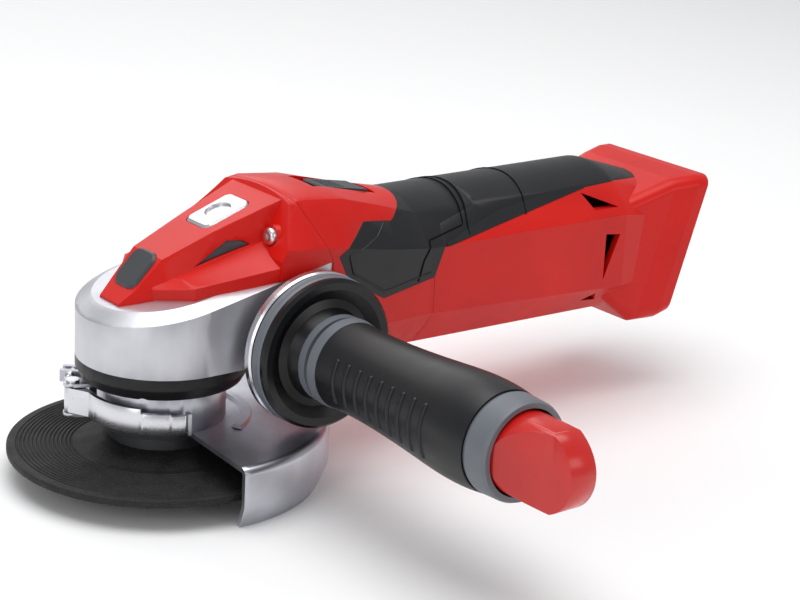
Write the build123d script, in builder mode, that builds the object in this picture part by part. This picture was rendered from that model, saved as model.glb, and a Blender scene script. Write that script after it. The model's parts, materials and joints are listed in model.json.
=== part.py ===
from build123d import *
import math
import os

# Cordless angle grinder for 115 mm discs, without its battery.
# Origin: the free end of the output spindle, on its axis.
# +Z runs up the spindle, +X back along the motor and the main handle, -Y along the side handle.

os.makedirs("parts", exist_ok=True)

# ---- fits and clearances -------------------------------------------------
run_gap = 0.05  # radial gap of a shaft that turns or slides in its hole
free_gap = 0.3  # gap between pieces that pass each other without guiding
wall = 3.0  # plastic shells
skin = 1.6  # soft grip layer moulded over the shells

# ---- output spindle, disc and guard -----------------------------------------
spindle_thread_radius = 7.0
spindle_free_end = 4.0  # bare thread below the lock nut
lock_nut_thickness = 4.4
lock_nut_radius = 17.5
disc_radius = 57.5
disc_thickness = 3.0
disc_rise = 3.9  # the hub stands this far above the rim
disc_bore_radius = 11.15
bush_radius = 12.0
inner_flange_thickness = 4.8
inner_flange_radius = 20.0
pilot_depth = 2.0
spindle_collar_radius = 8.5
bearing_seat_radius = 6.0
bearing_radius = 16.0
bearing_width = 10.0
neck_radius = 21.92
collar_radius = 24.0
collar_height = 15.0
guard_clearance = 5.8  # from the disc's rim to the outside of the guard
guard_radius = disc_radius + guard_clearance
guard_sheet = 2.0
guard_skirt = 14.7
guard_lip_drop = 8.7
guard_lip_radius = guard_radius - 3.3
guard_start_angle = -94.0
guard_angle = 180.0
lever_radius = 27.3
lever_sheet = 1.7
lever_height = 9.6
lever_tip_angle = -101.0
hinge_angle = 155.0
hinge_radius = 33.0
lever_pin_radius = 1.6
band_split_angle = 137.5
band_gap = 3.0
ear_reach = 38.0
clamp_screw_radius = 1.9

# ---- gear head ------------------------------------------------------------
head_radius = 32.3
head_wall = 4.3
cover_plate_height = 8.4
gear_tooth_count = 33
pinion_tooth_count = 11
gear_pitch_radius = 19.0
tooth_face = 5.5
motor_z = 61.0
head_rear_x = 53.0
lock_radius = 9.0  # the lock pin's distance from the spindle axis
lock_pin_radius = 2.0
lock_travel = 3.5  # how far the lock button is pressed
needle_bearing_radius = 6.0
spindle_top_radius = 4.0

# ---- motor ------------------------------------------------------------------
shaft_radius = 4.0
motor_bearing_radius = 11.0
motor_bearing_width = 7.0
fan_radius = 12.8
core_radius = 12.0
can_radius = 18.5
can_wall = 1.8
magnet_thickness = 3.6
can_front_x = 55.0
can_rear_x = 98.0
core_front_x = 61.0
core_length = 28.0

# ---- main body -----------------------------------------------------------------
seam_x = 104.0  # where the motor housing meets the two handle shells
base_rear_low = (231.0, 28.0)  # side view (x, z) of the face that the battery slides along
base_rear_top = (250.5, 88.0)
rail_height = 6.0
switch_half_width = 7.0

# ---- side handle -----------------------------------------------------------------
handle_x = 40.0
handle_z = 50.0
boss_radius = 11.0
boss_face_y = 34.8
stud_hole_radius = 3.4
stud_hole_depth = 14.0
hand_flange_radius = 28.5
grip_start = 64.0
grip_end = 148.0
knob_length = 39.0  # from the end of the grip
handle_end = grip_end + knob_length
knob_radius = 14.6

# ---- heights worked out from the sizes above --------------------------------------
hub_bottom = spindle_free_end + lock_nut_thickness
hub_top = hub_bottom + disc_thickness
flange_top = hub_top + inner_flange_thickness
rim_bottom = hub_bottom - disc_rise
rim_top = rim_bottom + disc_thickness
guard_top = flange_top + 2.8
neck_bottom = guard_top + 0.6
bearing_bottom = guard_top + 5.0
bearing_top = bearing_bottom + bearing_width
plate_bottom = guard_top + collar_height + 0.8
plate_top = plate_bottom + cover_plate_height
lever_bottom = guard_top + 2.0
pinion_pitch_radius = gear_pitch_radius * pinion_tooth_count / gear_tooth_count
cone_distance = math.hypot(gear_pitch_radius, pinion_pitch_radius)
tooth_module = 2 * gear_pitch_radius / gear_tooth_count
roof_z = motor_z + 15.5
crease_nose_z = motor_z
crease_rear_z = motor_z + 18.0
roof_nose_z = motor_z + 4.5
roof_rear_z = motor_z + 19.2


def motor_plane(x):
    return Plane(origin=(x, 0, motor_z), x_dir=(0, 1, 0), z_dir=(1, 0, 0))


def handle_plane(reach):
    return Plane(origin=(handle_x, -reach, handle_z), x_dir=(1, 0, 0), z_dir=(0, -1, 0))


def ring(plane, outer, inner, length):
    with BuildPart() as made:
        with BuildSketch(plane):
            Circle(outer)
            if inner > 0:
                Circle(inner, mode=Mode.SUBTRACT)
        extrude(amount=length)
    return made


def turned(points):
    # a profile of (radius, height) turned about the spindle axis
    with BuildPart() as made:
        with BuildSketch(Plane.XZ):
            with BuildLine():
                Polyline(*points, close=True)
            make_face()
        revolve(axis=Axis.Z)
    return made


def handle_turned(points):
    # a profile of (reach along -Y, radius) turned about the side handle's axis
    axis = Axis((handle_x, 0, handle_z), (0, -1, 0))
    with BuildPart() as made:
        with BuildSketch(Plane(origin=(handle_x, 0, handle_z), x_dir=(0, -1, 0), z_dir=(1, 0, 0))):
            with BuildLine():
                Polyline(*points, close=True)
            make_face()
        revolve(axis=axis)
    return made


def side_prism(points, half_width):
    # an outline of (x, z) drawn from the side and made half_width thick each way
    with BuildPart() as made:
        with BuildSketch(Plane.XZ):
            with BuildLine():
                Polyline(*points, close=True)
            make_face()
        extrude(amount=half_width, both=True)
    return made


def polar(radius, angle, z=0.0):
    return (radius * math.cos(math.radians(angle)), radius * math.sin(math.radians(angle)), z)


# ==== spindle and what turns with it ==================================================
gear_bottom = bearing_top + 9.5
gear_web_top = gear_bottom + 6.0
needle_bottom = roof_z - 9.0
needle_top = roof_z - 1.2
spindle_tip_radius = 6.2
spindle_tip_length = 3.4
spindle_relief_radius = 5.6
spindle_relief_length = 0.8
with BuildPart() as spindle:
    with BuildSketch(Plane.XZ):
        with BuildLine():
            Polyline(
                (0, 0),
                (spindle_tip_radius, 0),
                (spindle_tip_radius, spindle_tip_length),
                (spindle_relief_radius, spindle_tip_length),
                (spindle_relief_radius, spindle_tip_length + spindle_relief_length),
                (spindle_thread_radius, spindle_tip_length + spindle_relief_length),
                (spindle_thread_radius, flange_top),
                (spindle_collar_radius, flange_top),
                (spindle_collar_radius, bearing_bottom),
                (bearing_seat_radius, bearing_bottom),
                (bearing_seat_radius, gear_web_top + 1.0),
                (spindle_top_radius, gear_web_top + 2.5),
                (spindle_top_radius, needle_top - 0.6),
                (0, needle_top - 0.6),
                close=True,
            )
        make_face()
    revolve(axis=Axis.Z)

pilot_radius = disc_bore_radius - run_gap
inner_flange = turned([
    (spindle_thread_radius + run_gap, hub_top - pilot_depth),
    (pilot_radius, hub_top - pilot_depth),
    (pilot_radius, hub_top),
    (inner_flange_radius, hub_top),
    (inner_flange_radius, flange_top - 0.8),
    (inner_flange_radius - 0.8, flange_top),
    (spindle_thread_radius + run_gap, flange_top),
])

cone_slope = 8.6
grinding_disc = turned([
    (bush_radius, hub_bottom),
    (22.0 - 1.0, hub_bottom),
    (22.0 + cone_slope - 1.0, rim_bottom),
    (disc_radius, rim_bottom),
    (disc_radius, rim_top),
    (22.0 + cone_slope, rim_top),
    (22.0, hub_top),
    (bush_radius, hub_top),
])
disc_bush = ring(Plane.XY.offset(hub_bottom), bush_radius, disc_bore_radius, disc_thickness)

with BuildPart() as lock_nut:
    with BuildSketch(Plane.XY.offset(spindle_free_end)):
        Circle(lock_nut_radius)
        Circle(spindle_thread_radius + run_gap, mode=Mode.SUBTRACT)
        with PolarLocations(13.0, 4, start_angle=45):
            Circle(2.4, mode=Mode.SUBTRACT)
    extrude(amount=lock_nut_thickness)
    chamfer(lock_nut.edges().filter_by(GeomType.CIRCLE).sort_by(SortBy.RADIUS)[-2:], 0.8)



def race_radii(bore, outside):
    # the two faces between which the balls run
    race = 0.27 * (outside - bore)
    return bore + race, outside - race


inner_race_radius, outer_race_radius = race_radii(bearing_seat_radius, bearing_radius)
spindle_bearing_inner = ring(Plane.XY.offset(bearing_bottom), inner_race_radius, bearing_seat_radius, bearing_width)
spindle_bearing_outer = ring(Plane.XY.offset(bearing_bottom), bearing_radius, outer_race_radius, bearing_width)

# ---- bevel pair: both cones meet at (0, 0, motor_z) -------------------------------------
addendum = 0.75 * tooth_module
dedendum = 1.05 * tooth_module
gear_cone = math.atan2(gear_pitch_radius, pinion_pitch_radius)
pinion_cone = math.pi / 2 - gear_cone
inner_scale = (cone_distance - tooth_face) / cone_distance
tooth_half = tooth_module * math.pi / 4
apex = Vector(0, 0, motor_z)


def tooth(along, across, out, scale_in):
    # a straight bevel tooth: the same trapezium at the large and at the small end, shrunk towards the apex
    ends = []
    for scale in (1.0, scale_in):
        corners = []
        for height, half in (
            (-dedendum * 1.1, tooth_half * 1.12),
            (0.0, tooth_half * 0.74),
            (addendum, tooth_half * 0.34),
            (addendum, -tooth_half * 0.34),
            (0.0, -tooth_half * 0.74),
            (-dedendum * 1.1, -tooth_half * 1.12),
        ):
            corners.append(apex + (along * cone_distance + out * height + across * half) * scale)
        ends.append(Face(Wire.make_polygon(corners, close=True)))
    return Solid.make_loft([end.outer_wire() for end in ends], True)


gear_root_slope = 1 / math.tan(gear_cone - math.atan2(dedendum, cone_distance))
gear_root_radius = (cone_distance * math.sin(gear_cone)) + dedendum * math.cos(gear_cone) * 0.4
gear_inner_radius = gear_pitch_radius * inner_scale - 0.4


def root_height(radius):
    return motor_z - radius * gear_root_slope


gear_teeth = []
for number in range(gear_tooth_count):
    turn = 2 * math.pi * (number + 0.5) / gear_tooth_count
    radial = Vector(math.cos(turn), math.sin(turn), 0)
    along = radial * math.sin(gear_cone) - Vector(0, 0, 1) * math.cos(gear_cone)
    out = radial * math.cos(gear_cone) + Vector(0, 0, 1) * math.sin(gear_cone)
    gear_teeth.append(tooth(along, Vector(-math.sin(turn), math.cos(turn), 0), out, inner_scale))

with BuildPart() as bevel_gear:
    with BuildSketch(Plane.XZ):
        with BuildLine():
            Polyline(
                (bearing_seat_radius, bearing_top),
                (inner_race_radius, bearing_top),
                (inner_race_radius, gear_bottom),
                (gear_root_radius, gear_bottom),
                (gear_root_radius, root_height(gear_root_radius)),
                (gear_inner_radius, root_height(gear_inner_radius)),
                (gear_inner_radius, gear_web_top),
                (bearing_seat_radius, gear_web_top),
                close=True,
            )
        make_face()
    revolve(axis=Axis.Z)
    add(gear_teeth)
    with BuildSketch(Plane.XY.offset(gear_web_top)):
        with PolarLocations(lock_radius, 4):
            Circle(lock_pin_radius + 0.35)
    extrude(amount=-5.0, mode=Mode.SUBTRACT)

pinion_front_x = gear_pitch_radius * inner_scale - 0.3
pinion_shank_x = 28.0
pinion_teeth = []
for number in range(pinion_tooth_count):
    turn = 2 * math.pi * number / pinion_tooth_count - math.pi / 2
    radial = Vector(0, math.cos(turn), math.sin(turn))
    along = Vector(1, 0, 0) * math.cos(pinion_cone) + radial * math.sin(pinion_cone)
    out = radial * math.cos(pinion_cone) - Vector(1, 0, 0) * math.sin(pinion_cone)
    pinion_teeth.append(tooth(along, Vector(0, -math.sin(turn), math.cos(turn)), out, inner_scale))
pinion_root = pinion_pitch_radius - dedendum
with BuildPart() as pinion:
    with BuildSketch(Plane.XZ.shift_origin((0, 0, motor_z))):
        with BuildLine():
            Polyline(
                (pinion_front_x + 0.3, shaft_radius * 0.5),
                (pinion_front_x + 0.3, pinion_root * inner_scale),
                (gear_pitch_radius, pinion_root),
                (pinion_shank_x, pinion_root),
                (pinion_shank_x, shaft_radius * 0.5),
                close=True,
            )
        make_face()
    revolve(axis=Axis((0, 0, motor_z), (1, 0, 0)))
    add(pinion_teeth)
    with BuildSketch(motor_plane(0)):
        Circle(shaft_radius * 0.5)
    extrude(amount=pinion_shank_x, mode=Mode.SUBTRACT)

# ==== gear head ==========================================================================
screw_circle = 26.8
screw_angles = (45, 135, 225, 315)
screw_spots = [polar(screw_circle, angle) for angle in screw_angles]
with BuildPart() as bearing_cover:
    with BuildSketch(Plane.XZ):
        with BuildLine():
            Polyline(
                (13.5, bearing_bottom - 1.4),
                (15.5, bearing_bottom - 1.4),
                (15.5, neck_bottom),
                (neck_radius, neck_bottom),
                (neck_radius, plate_bottom),
                (head_radius - 2.3, plate_bottom),
                (head_radius, plate_bottom + 4.2),
                (head_radius, plate_top),
                (bearing_radius, plate_top),
                (bearing_radius, bearing_bottom),
                (13.5, bearing_bottom),
                close=True,
            )
        make_face()
    revolve(axis=Axis.Z)
    with BuildSketch(Plane.XY.offset(plate_bottom)):
        with Locations(*screw_spots):
            Circle(3.5)
    extrude(amount=3.0, mode=Mode.SUBTRACT)
    with BuildSketch(Plane.XY.offset(plate_bottom)):
        with Locations(*screw_spots):
            Circle(2.1)
    extrude(amount=cover_plate_height, mode=Mode.SUBTRACT)

with BuildPart() as bearing_cover_screws:
    with BuildSketch(Plane.XY.offset(plate_bottom + 0.2)):
        with Locations(*screw_spots):
            Circle(3.3)
    extrude(amount=2.8)
    with BuildSketch(Plane.XY.offset(plate_bottom + 3.0)):
        with Locations(*screw_spots):
            Circle(2.0)
    extrude(amount=16.0)
    with BuildSketch(Plane.XY.offset(plate_bottom + 0.2)):
        with Locations(*screw_spots):
            RegularPolygon(1.7, 6)
    extrude(amount=1.6, mode=Mode.SUBTRACT)

dust_seal = ring(
    Plane.XY.offset(neck_bottom + 0.3), 15.5, spindle_collar_radius + free_gap, bearing_bottom - 1.4 - neck_bottom - 0.3
)


def head_outline(inset):
    # the gear head in plan: a half round nose and straight flanks
    with BuildSketch(mode=Mode.PRIVATE) as outline:
        with BuildLine():
            radius = head_radius - inset
            RadiusArc((0, radius), (0, -radius), -radius)
            Polyline((0, -radius), (head_rear_x, -radius), (head_rear_x, radius), (0, radius))
        make_face()
    return outline.sketch


def tilted_cap(inset, nose_z, rear_z):
    # the top face of the plan outline cut by a plane that rises from the nose to the rear
    slope = (rear_z - nose_z) / (head_rear_x + head_radius - inset)
    with BuildPart(mode=Mode.PRIVATE) as column:
        with BuildSketch(Plane.XY.offset(plate_top)):
            add(head_outline(inset))
        extrude(amount=60.0)
        split(bisect_by=Plane(origin=(inset - head_radius, 0, nose_z), z_dir=(-slope, 0, 1)), keep=Keep.BOTTOM)
    return column.part


crown_inset = 6.0
crown_foot = tilted_cap(0, crease_nose_z, crease_rear_z)
crown_top = tilted_cap(crown_inset, roof_nose_z, roof_rear_z)
with BuildPart() as head_block:
    add(crown_foot)
    loft([crown_foot.faces().sort_by(Axis.Z)[-1], crown_top.faces().sort_by(Axis.Z)[-1]], ruled=True)

button_x = 23.0
button_length = 20.0
button_width = 15.0
carrier_bottom = motor_z + 20.0
carrier_thickness = 2.7
carrier_width = 12.0
carrier_front = lock_radius - 3.5
carrier_rear = button_x + 10.0
with BuildPart() as gear_housing:
    add(head_block.part)
    # boss over the spindle's top bearing and the lock pin
    with BuildSketch(Plane.XY.offset(motor_z + 5.0)):
        Circle(needle_bearing_radius + 2.0)
        with Locations((lock_radius, 0)):
            Circle(lock_pin_radius + 2.5)
        make_hull()
    extrude(amount=roof_z - motor_z - 5.0)
    # rear flange that carries the motor and the handle sockets
    with BuildSketch(Plane.YZ.offset(head_radius + 0.7)):
        with Locations((0, (plate_bottom + roof_z + 1.5) / 2)):
            RectangleRounded(56.0, roof_z + 1.5 - plate_bottom, 6.0)
    extrude(amount=head_rear_x - head_radius - 0.7)
    with BuildSketch(Plane.XZ):
        with Locations((handle_x, handle_z)):
            Circle(boss_radius)
    extrude(amount=boss_face_y, both=True)
    # gear chamber
    with BuildSketch(Plane.XY.offset(plate_top)):
        Circle(head_radius - head_wall)
        with Locations(*screw_spots):
            Circle(4.6, mode=Mode.SUBTRACT)
    extrude(amount=motor_z - 2.0 - plate_top, mode=Mode.SUBTRACT)
    with BuildSketch(Plane.XY.offset(plate_top)):
        Circle(head_radius - head_wall - 7.0)
    extrude(amount=motor_z + 3.0 - plate_top, mode=Mode.SUBTRACT)
    with BuildSketch(motor_plane(0)):
        Circle(9.0)
    extrude(amount=26.5, mode=Mode.SUBTRACT)
    with BuildSketch(motor_plane(26.0)):
        Circle(7.0)
    extrude(amount=4.0, mode=Mode.SUBTRACT)
    # screw holes for the bearing cover
    with BuildSketch(Plane.XY.offset(plate_top)):
        with Locations(*screw_spots):
            Circle(2.0)
    extrude(amount=12.0, mode=Mode.SUBTRACT)
    # spindle top bearing and lock pin
    with BuildSketch(Plane.XY.offset(motor_z)):
        Circle(needle_bearing_radius)
    extrude(amount=needle_top - motor_z, mode=Mode.SUBTRACT)
    with BuildSketch(Plane.XY.offset(motor_z)):
        with Locations((lock_radius, 0)):
            Circle(lock_pin_radius + run_gap)
    extrude(amount=20.0, mode=Mode.SUBTRACT)
    with BuildSketch(Plane.XY.offset(roof_z - 5.0)):
        with Locations((22.0, 0)):
            Circle(3.8)
    extrude(amount=10.0, mode=Mode.SUBTRACT)
    # room for the pressed lock button's carrier
    with BuildSketch(Plane.XY.offset(carrier_bottom - lock_travel - free_gap)):
        with Locations(((carrier_front + carrier_rear) / 2, 0)):
            Rectangle(carrier_rear - carrier_front + 2 * free_gap, carrier_width + 2 * free_gap)
    extrude(amount=lock_travel + 2 * free_gap, mode=Mode.SUBTRACT)
    # motor front bearing, shaft and fan
    with BuildSketch(motor_plane(29.0)):
        Circle(motor_bearing_radius)
    extrude(amount=12.0, mode=Mode.SUBTRACT)
    with BuildSketch(motor_plane(39.0)):
        Circle(fan_radius + 0.8)
    extrude(amount=20.0, mode=Mode.SUBTRACT)
    # threaded sockets for the side handle, one each side
    for side in (-1, 1):
        with BuildSketch(Plane(origin=(handle_x, side * boss_face_y, handle_z), z_dir=(0, side, 0))):
            Circle(stud_hole_radius)
        extrude(amount=-stud_hole_depth, mode=Mode.SUBTRACT)
    # room for the bearing cover's plate
    with BuildSketch(Plane.XY.offset(plate_top)):
        Circle(head_radius + 0.2)
    extrude(amount=-cover_plate_height - 2.0, mode=Mode.SUBTRACT)
    # rotation arrow on the crown, a plain sunk bar with a head
    arrow_plane = Plane(origin=(-9.0, -27.6, roof_z - 3.0), x_dir=(1, 0, 0.1), z_dir=(0, -0.62, 0.78))
    with BuildSketch(arrow_plane):
        with BuildLine():
            Polyline((-6, -0.6), (2, -0.6), (2, -1.9), (6.5, 0), (2, 1.9), (2, 0.6), (-6, 0.6), close=True)
        make_face()
    extrude(amount=-1.2, mode=Mode.SUBTRACT)

needle_bearing = ring(
    Plane.XY.offset(needle_bottom), needle_bearing_radius, spindle_top_radius + run_gap, needle_top - needle_bottom
)

# ==== main body outline ==================================================================
# x, top middle, shoulder (half width, z), side crease z, half width, low crease z, bottom half width, bottom z
stations = (
    (30.0, 100.6, 20.5, 98.6, 86.0, 33.0, 50.0, 20.0, 34.5),
    (46.0, 103.0, 21.5, 100.8, 85.0, 33.0, 50.0, 20.0, 34.5),
    (64.0, 101.0, 21.5, 99.0, 82.5, 33.0, 50.0, 19.5, 34.5),
    (84.0, 96.6, 20.5, 93.4, 79.0, 31.8, 50.0, 19.0, 34.5),
    (102.0, 93.4, 19.0, 87.8, 76.5, 30.5, 50.0, 18.5, 34.5),
    (206.0, 93.6, 19.0, 87.8, 76.0, 30.0, 45.0, 18.0, 33.0),
    (234.0, 85.0, 17.0, 80.0, 71.0, 26.0, 46.0, 17.0, 36.0),
)


def moved_in(points, inset):
    # shifts each edge of an open half outline inwards and gives back the new corners
    shifted = []
    for (ay, az), (by, bz) in zip(points, points[1:]):
        length = math.hypot(by - ay, bz - az)
        ny, nz = -(bz - az) / length, (by - ay) / length
        shifted.append(((ay + ny * inset, az + nz * inset), (by - ay, bz - az)))
    corners = [(points[0][0], points[0][1] + inset)]
    for (p, d), (q, e) in zip(shifted, shifted[1:]):
        cross = d[0] * e[1] - d[1] * e[0]
        along = ((q[0] - p[0]) * e[1] - (q[1] - p[1]) * e[0]) / cross
        corners.append((p[0] + d[0] * along, p[1] + d[1] * along))
    return corners


def body_solid(inset):
    with BuildPart() as made:
        for x, top, shoulder, shoulder_z, crease, half, low, bottom, bottom_z in stations:
            half_points = [(0, bottom_z), (bottom, bottom_z), (half, low), (half, crease), (shoulder, shoulder_z)]
            inner = moved_in(half_points + [(0, top + 0.5)], inset)
            mirrored = [(-y, z) for y, z in reversed(inner[1:])]
            with BuildSketch(Plane(origin=(x, 0, 0), x_dir=(0, 1, 0), z_dir=(1, 0, 0))):
                with BuildLine():
                    Polyline(*inner[1:])
                    ThreePointArc(inner[-1], (0, top - inset), mirrored[0])
                    Polyline(*mirrored)
                    Line(mirrored[-1], inner[1])
                make_face()
        loft(ruled=True)
    return made.part


rear_run = Vector(base_rear_top[0] - base_rear_low[0], 0, base_rear_top[1] - base_rear_low[1])
rear_height = rear_run.length
rear_run = rear_run.normalized()
shoe_plane = Plane(
    origin=((base_rear_top[0] + base_rear_low[0]) / 2, 0, (base_rear_top[1] + base_rear_low[1]) / 2),
    x_dir=(0, 1, 0), z_dir=(rear_run.Z, 0, -rear_run.X),
)
# distance in front of the rear face, half width, top trimmed by, bottom raised by
base_stations = ((0.0, 33.5, 0.0, 1.5), (5.0, 33.0, 1.5, -2.0), (15.0, 30.0, 6.0, -6.0), (37.0, 26.5, 21.0, 3.0))


def base_solid(inset):
    # the foot that the battery slides onto flares out to its leaning rear face
    with BuildPart() as made:
        for ahead, half, top_trim, low_trim in base_stations:
            if ahead == 0:
                ahead = inset
            if ahead == base_stations[-1][0]:
                ahead -= 1.5 * inset
            with BuildSketch(shoe_plane.offset(-ahead)):
                with Locations((0, (low_trim - top_trim) / 2)):
                    RectangleRounded(2 * (half - inset), rear_height - top_trim - low_trim - 2 * inset, 5.0)
        loft(ruled=True)
    return made.part


body_outer = body_solid(0) + base_solid(0)
body_under_skin = body_solid(skin) + base_solid(0)
body_inner = body_solid(wall) + base_solid(wall)

# ==== head cover =============================================================================
# x, top half width, top z, foot half width, foot z
ridge_stations = (
    (-23.0, 6.5, 67.0, 9.5, 58.0),
    (-17.0, 8.5, 72.0, 13.5, 58.0),
    (-7.0, 9.8, 82.3, 16.0, 64.0),
    (13.0, 12.0, 90.5, 16.5, 70.0),
    (48.0, 17.5, 103.2, 20.0, 70.0),
)
# x, inner half width, inner z, outer half width, outer z
shelf_stations = (
    (-12.0, 9.3, 73.4, 11.5, 72.0),
    (-2.0, 13.0, 76.3, 24.5, 74.5),
    (31.0, 17.0, 85.4, 31.9, 79.6),
    (48.0, 17.5, 88.4, 31.9, 81.0),
)
bulkhead_x = 30.0
bulkhead_lean_low = (30.0, 82.0)  # side view (x, z) of the line along which the bulkhead leans back
bulkhead_lean_high = (40.0, 100.0)
cover_foot_z = 58.0


lean_run = Vector(
    bulkhead_lean_high[0] - bulkhead_lean_low[0], 0, bulkhead_lean_high[1] - bulkhead_lean_low[1]
).normalized()
lean_plane = Plane(
    origin=(bulkhead_lean_low[0], 0, bulkhead_lean_low[1]), x_dir=(0, 1, 0), z_dir=(lean_run.Z, 0, -lean_run.X)
)


def cover_solid(inset):
    with BuildPart() as ridge:
        for x, top_half, top, foot_half, foot in ridge_stations:
            with BuildSketch(Plane(origin=(x + (inset if x < 0 else 0), 0, 0), x_dir=(0, 1, 0), z_dir=(1, 0, 0))):
                with BuildLine():
                    Polyline(
                        (top_half - inset, top - inset),
                        (foot_half - inset, foot - inset),
                        (inset - foot_half, foot - inset),
                        (inset - top_half, top - inset),
                        close=True,
                    )
                make_face()
        loft(ruled=True)
    with BuildPart() as shelf:
        for x, inner, inner_z, outer, outer_z in shelf_stations:
            with BuildSketch(Plane(origin=(x + (inset if x < 0 else 0), 0, 0), x_dir=(0, 1, 0), z_dir=(1, 0, 0))):
                with BuildLine():
                    Polyline(
                        (inner, inner_z - inset),
                        (outer - inset, outer_z - inset * 0.8),
                        (outer - inset, cover_foot_z - inset),
                        (inset - outer, cover_foot_z - inset),
                        (inset - outer, outer_z - inset * 0.8),
                        (-inner, inner_z - inset),
                        close=True,
                    )
                make_face()
        loft(ruled=True)
    with BuildPart() as bulkhead:
        add(body_solid(inset))
        split(bisect_by=Plane.YZ.offset(bulkhead_x + inset), keep=Keep.TOP)
        split(bisect_by=lean_plane.offset(inset), keep=Keep.TOP)
    return ridge.part + shelf.part + bulkhead.part


split_low = (head_rear_x, roof_rear_z - 1.0)
split_high = (head_rear_x - 12.5, roof_rear_z + 25.8)
seam_gap = 0.15
cover_zone = side_prism([
    (-40, cover_foot_z),
    (bulkhead_x - 1.0, cover_foot_z),
    (bulkhead_x - 1.0, crease_rear_z - 4.5),
    (split_low[0] - seam_gap, crease_rear_z),
    (split_low[0] - seam_gap, split_low[1]),
    (split_high[0] - seam_gap, split_high[1]),
    (-40, split_high[1]),
], 60)
motor_zone = side_prism([
    (split_low[0], 15),
    split_low,
    split_high,
    (seam_x, split_high[1]),
    (seam_x, 15),
], 60)

ridge_slope = (103.2 - 90.5) / 35.0
ridge_tilt = math.hypot(1, ridge_slope)
button_top_z = 90.5 + (button_x - 13.0) * ridge_slope + 0.7
button_plane = Plane(
    origin=(button_x, 0, button_top_z), x_dir=(1 / ridge_tilt, 0, ridge_slope / ridge_tilt),
    z_dir=(-ridge_slope / ridge_tilt, 0, 1 / ridge_tilt),
)
nose_low = Vector(ridge_stations[1][0], 0, ridge_stations[1][2])
nose_high = Vector(ridge_stations[2][0], 0, ridge_stations[2][2])
nose_run = (nose_high - nose_low).normalized()
pad_plane = Plane(
    origin=(nose_low + nose_high) * 0.5, x_dir=nose_run, z_dir=(-nose_run.Z, 0, nose_run.X)
)
pad_length = 16.4
pad_width = 14.6
pad_corner = 4.2
pad_gap = 0.1
vent_outline = ((4.3, 78.6), (9.3, 81.6), (18.0, 87.0), (23.7, 86.8), (27.3, 84.9))
head_screw_y = 20.8
head_screw_z = 88.5
head_screw_seat = 33.3
head_screw_end = 48.0
head_screw_radius = 1.5
head_screw_cap_radius = 3.4
head_screw_cap = 2.3
cover_outer = cover_solid(0)
cover_inner = cover_solid(wall - 0.4)

with BuildPart() as head_cover:
    add(cover_outer)
    add(cover_zone.part, mode=Mode.INTERSECT)
    add(head_block.part, mode=Mode.SUBTRACT)
    add(gear_housing.part, mode=Mode.SUBTRACT)
    add(cover_inner, mode=Mode.SUBTRACT)
    with BuildSketch(Plane.XY.offset(carrier_bottom)):
        with Locations((button_x, 0)):
            RectangleRounded(button_length + 2 * free_gap, button_width + 2 * free_gap, 3.0 + free_gap)
    extrude(amount=30.0, mode=Mode.SUBTRACT)
    with BuildSketch(pad_plane.offset(-1.4)):
        RectangleRounded(pad_length + 2 * pad_gap, pad_width + 2 * pad_gap, pad_corner + pad_gap)
    extrude(amount=7.4, mode=Mode.SUBTRACT)
    with BuildSketch(Plane.XZ):
        with BuildLine():
            Polyline(*vent_outline, close=True)
        make_face()
    extrude(amount=40.0, both=True, mode=Mode.SUBTRACT)
    # each dome screw has a boss, and a pocket where the boss is sunk in the leaning face
    with BuildSketch(Plane.YZ.offset(head_screw_seat)):
        with Locations((head_screw_y, head_screw_z), (-head_screw_y, head_screw_z)):
            Circle(head_screw_cap_radius + 0.8)
    extrude(amount=head_screw_end - head_screw_seat - 4.0)
    with BuildSketch(Plane.YZ.offset(head_screw_seat)):
        with Locations((head_screw_y, head_screw_z), (-head_screw_y, head_screw_z)):
            Circle(head_screw_cap_radius + 0.3)
    extrude(amount=-6.0, mode=Mode.SUBTRACT)
    with BuildSketch(Plane.YZ.offset(bulkhead_x - 1.0)):
        with Locations((head_screw_y, head_screw_z), (-head_screw_y, head_screw_z)):
            Circle(head_screw_radius + run_gap)
    extrude(amount=20.0, mode=Mode.SUBTRACT)

with BuildPart() as cover_pad:
    with BuildSketch(pad_plane.offset(-1.4)):
        RectangleRounded(pad_length, pad_width, pad_corner)
    extrude(amount=2.4)
    chamfer(cover_pad.faces().sort_by_distance(pad_plane.origin + pad_plane.z_dir * 3)[0].edges(), 0.9)

vent_skin = cover_solid(0.5)
vent_back = cover_solid(wall - 0.6)
with BuildPart() as vent_inserts:
    with BuildSketch(Plane.XZ):
        with BuildLine():
            Polyline(*vent_outline, close=True)
        make_face()
        offset(amount=-0.12, kind=Kind.INTERSECTION, mode=Mode.REPLACE)
    extrude(amount=30.0, both=True)
    add(vent_skin, mode=Mode.INTERSECT)
    add(vent_back, mode=Mode.SUBTRACT)

with BuildPart() as head_screws:
    with BuildSketch(Plane.YZ.offset(head_screw_seat - head_screw_cap)):
        with Locations((head_screw_y, head_screw_z), (-head_screw_y, head_screw_z)):
            Circle(head_screw_cap_radius)
    extrude(amount=head_screw_cap)
    fillet(head_screws.edges().filter_by(GeomType.CIRCLE).sort_by(Axis.X)[0:2], 1.4)
    with BuildSketch(Plane.YZ.offset(head_screw_seat)):
        with Locations((head_screw_y, head_screw_z), (-head_screw_y, head_screw_z)):
            Circle(head_screw_radius)
    extrude(amount=head_screw_end - head_screw_seat)
    with BuildSketch(Plane.YZ.offset(head_screw_seat - head_screw_cap)):
        with Locations((head_screw_y, head_screw_z), (-head_screw_y, head_screw_z)):
            RegularPolygon(1.3, 6)
    extrude(amount=1.2, mode=Mode.SUBTRACT)

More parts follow.
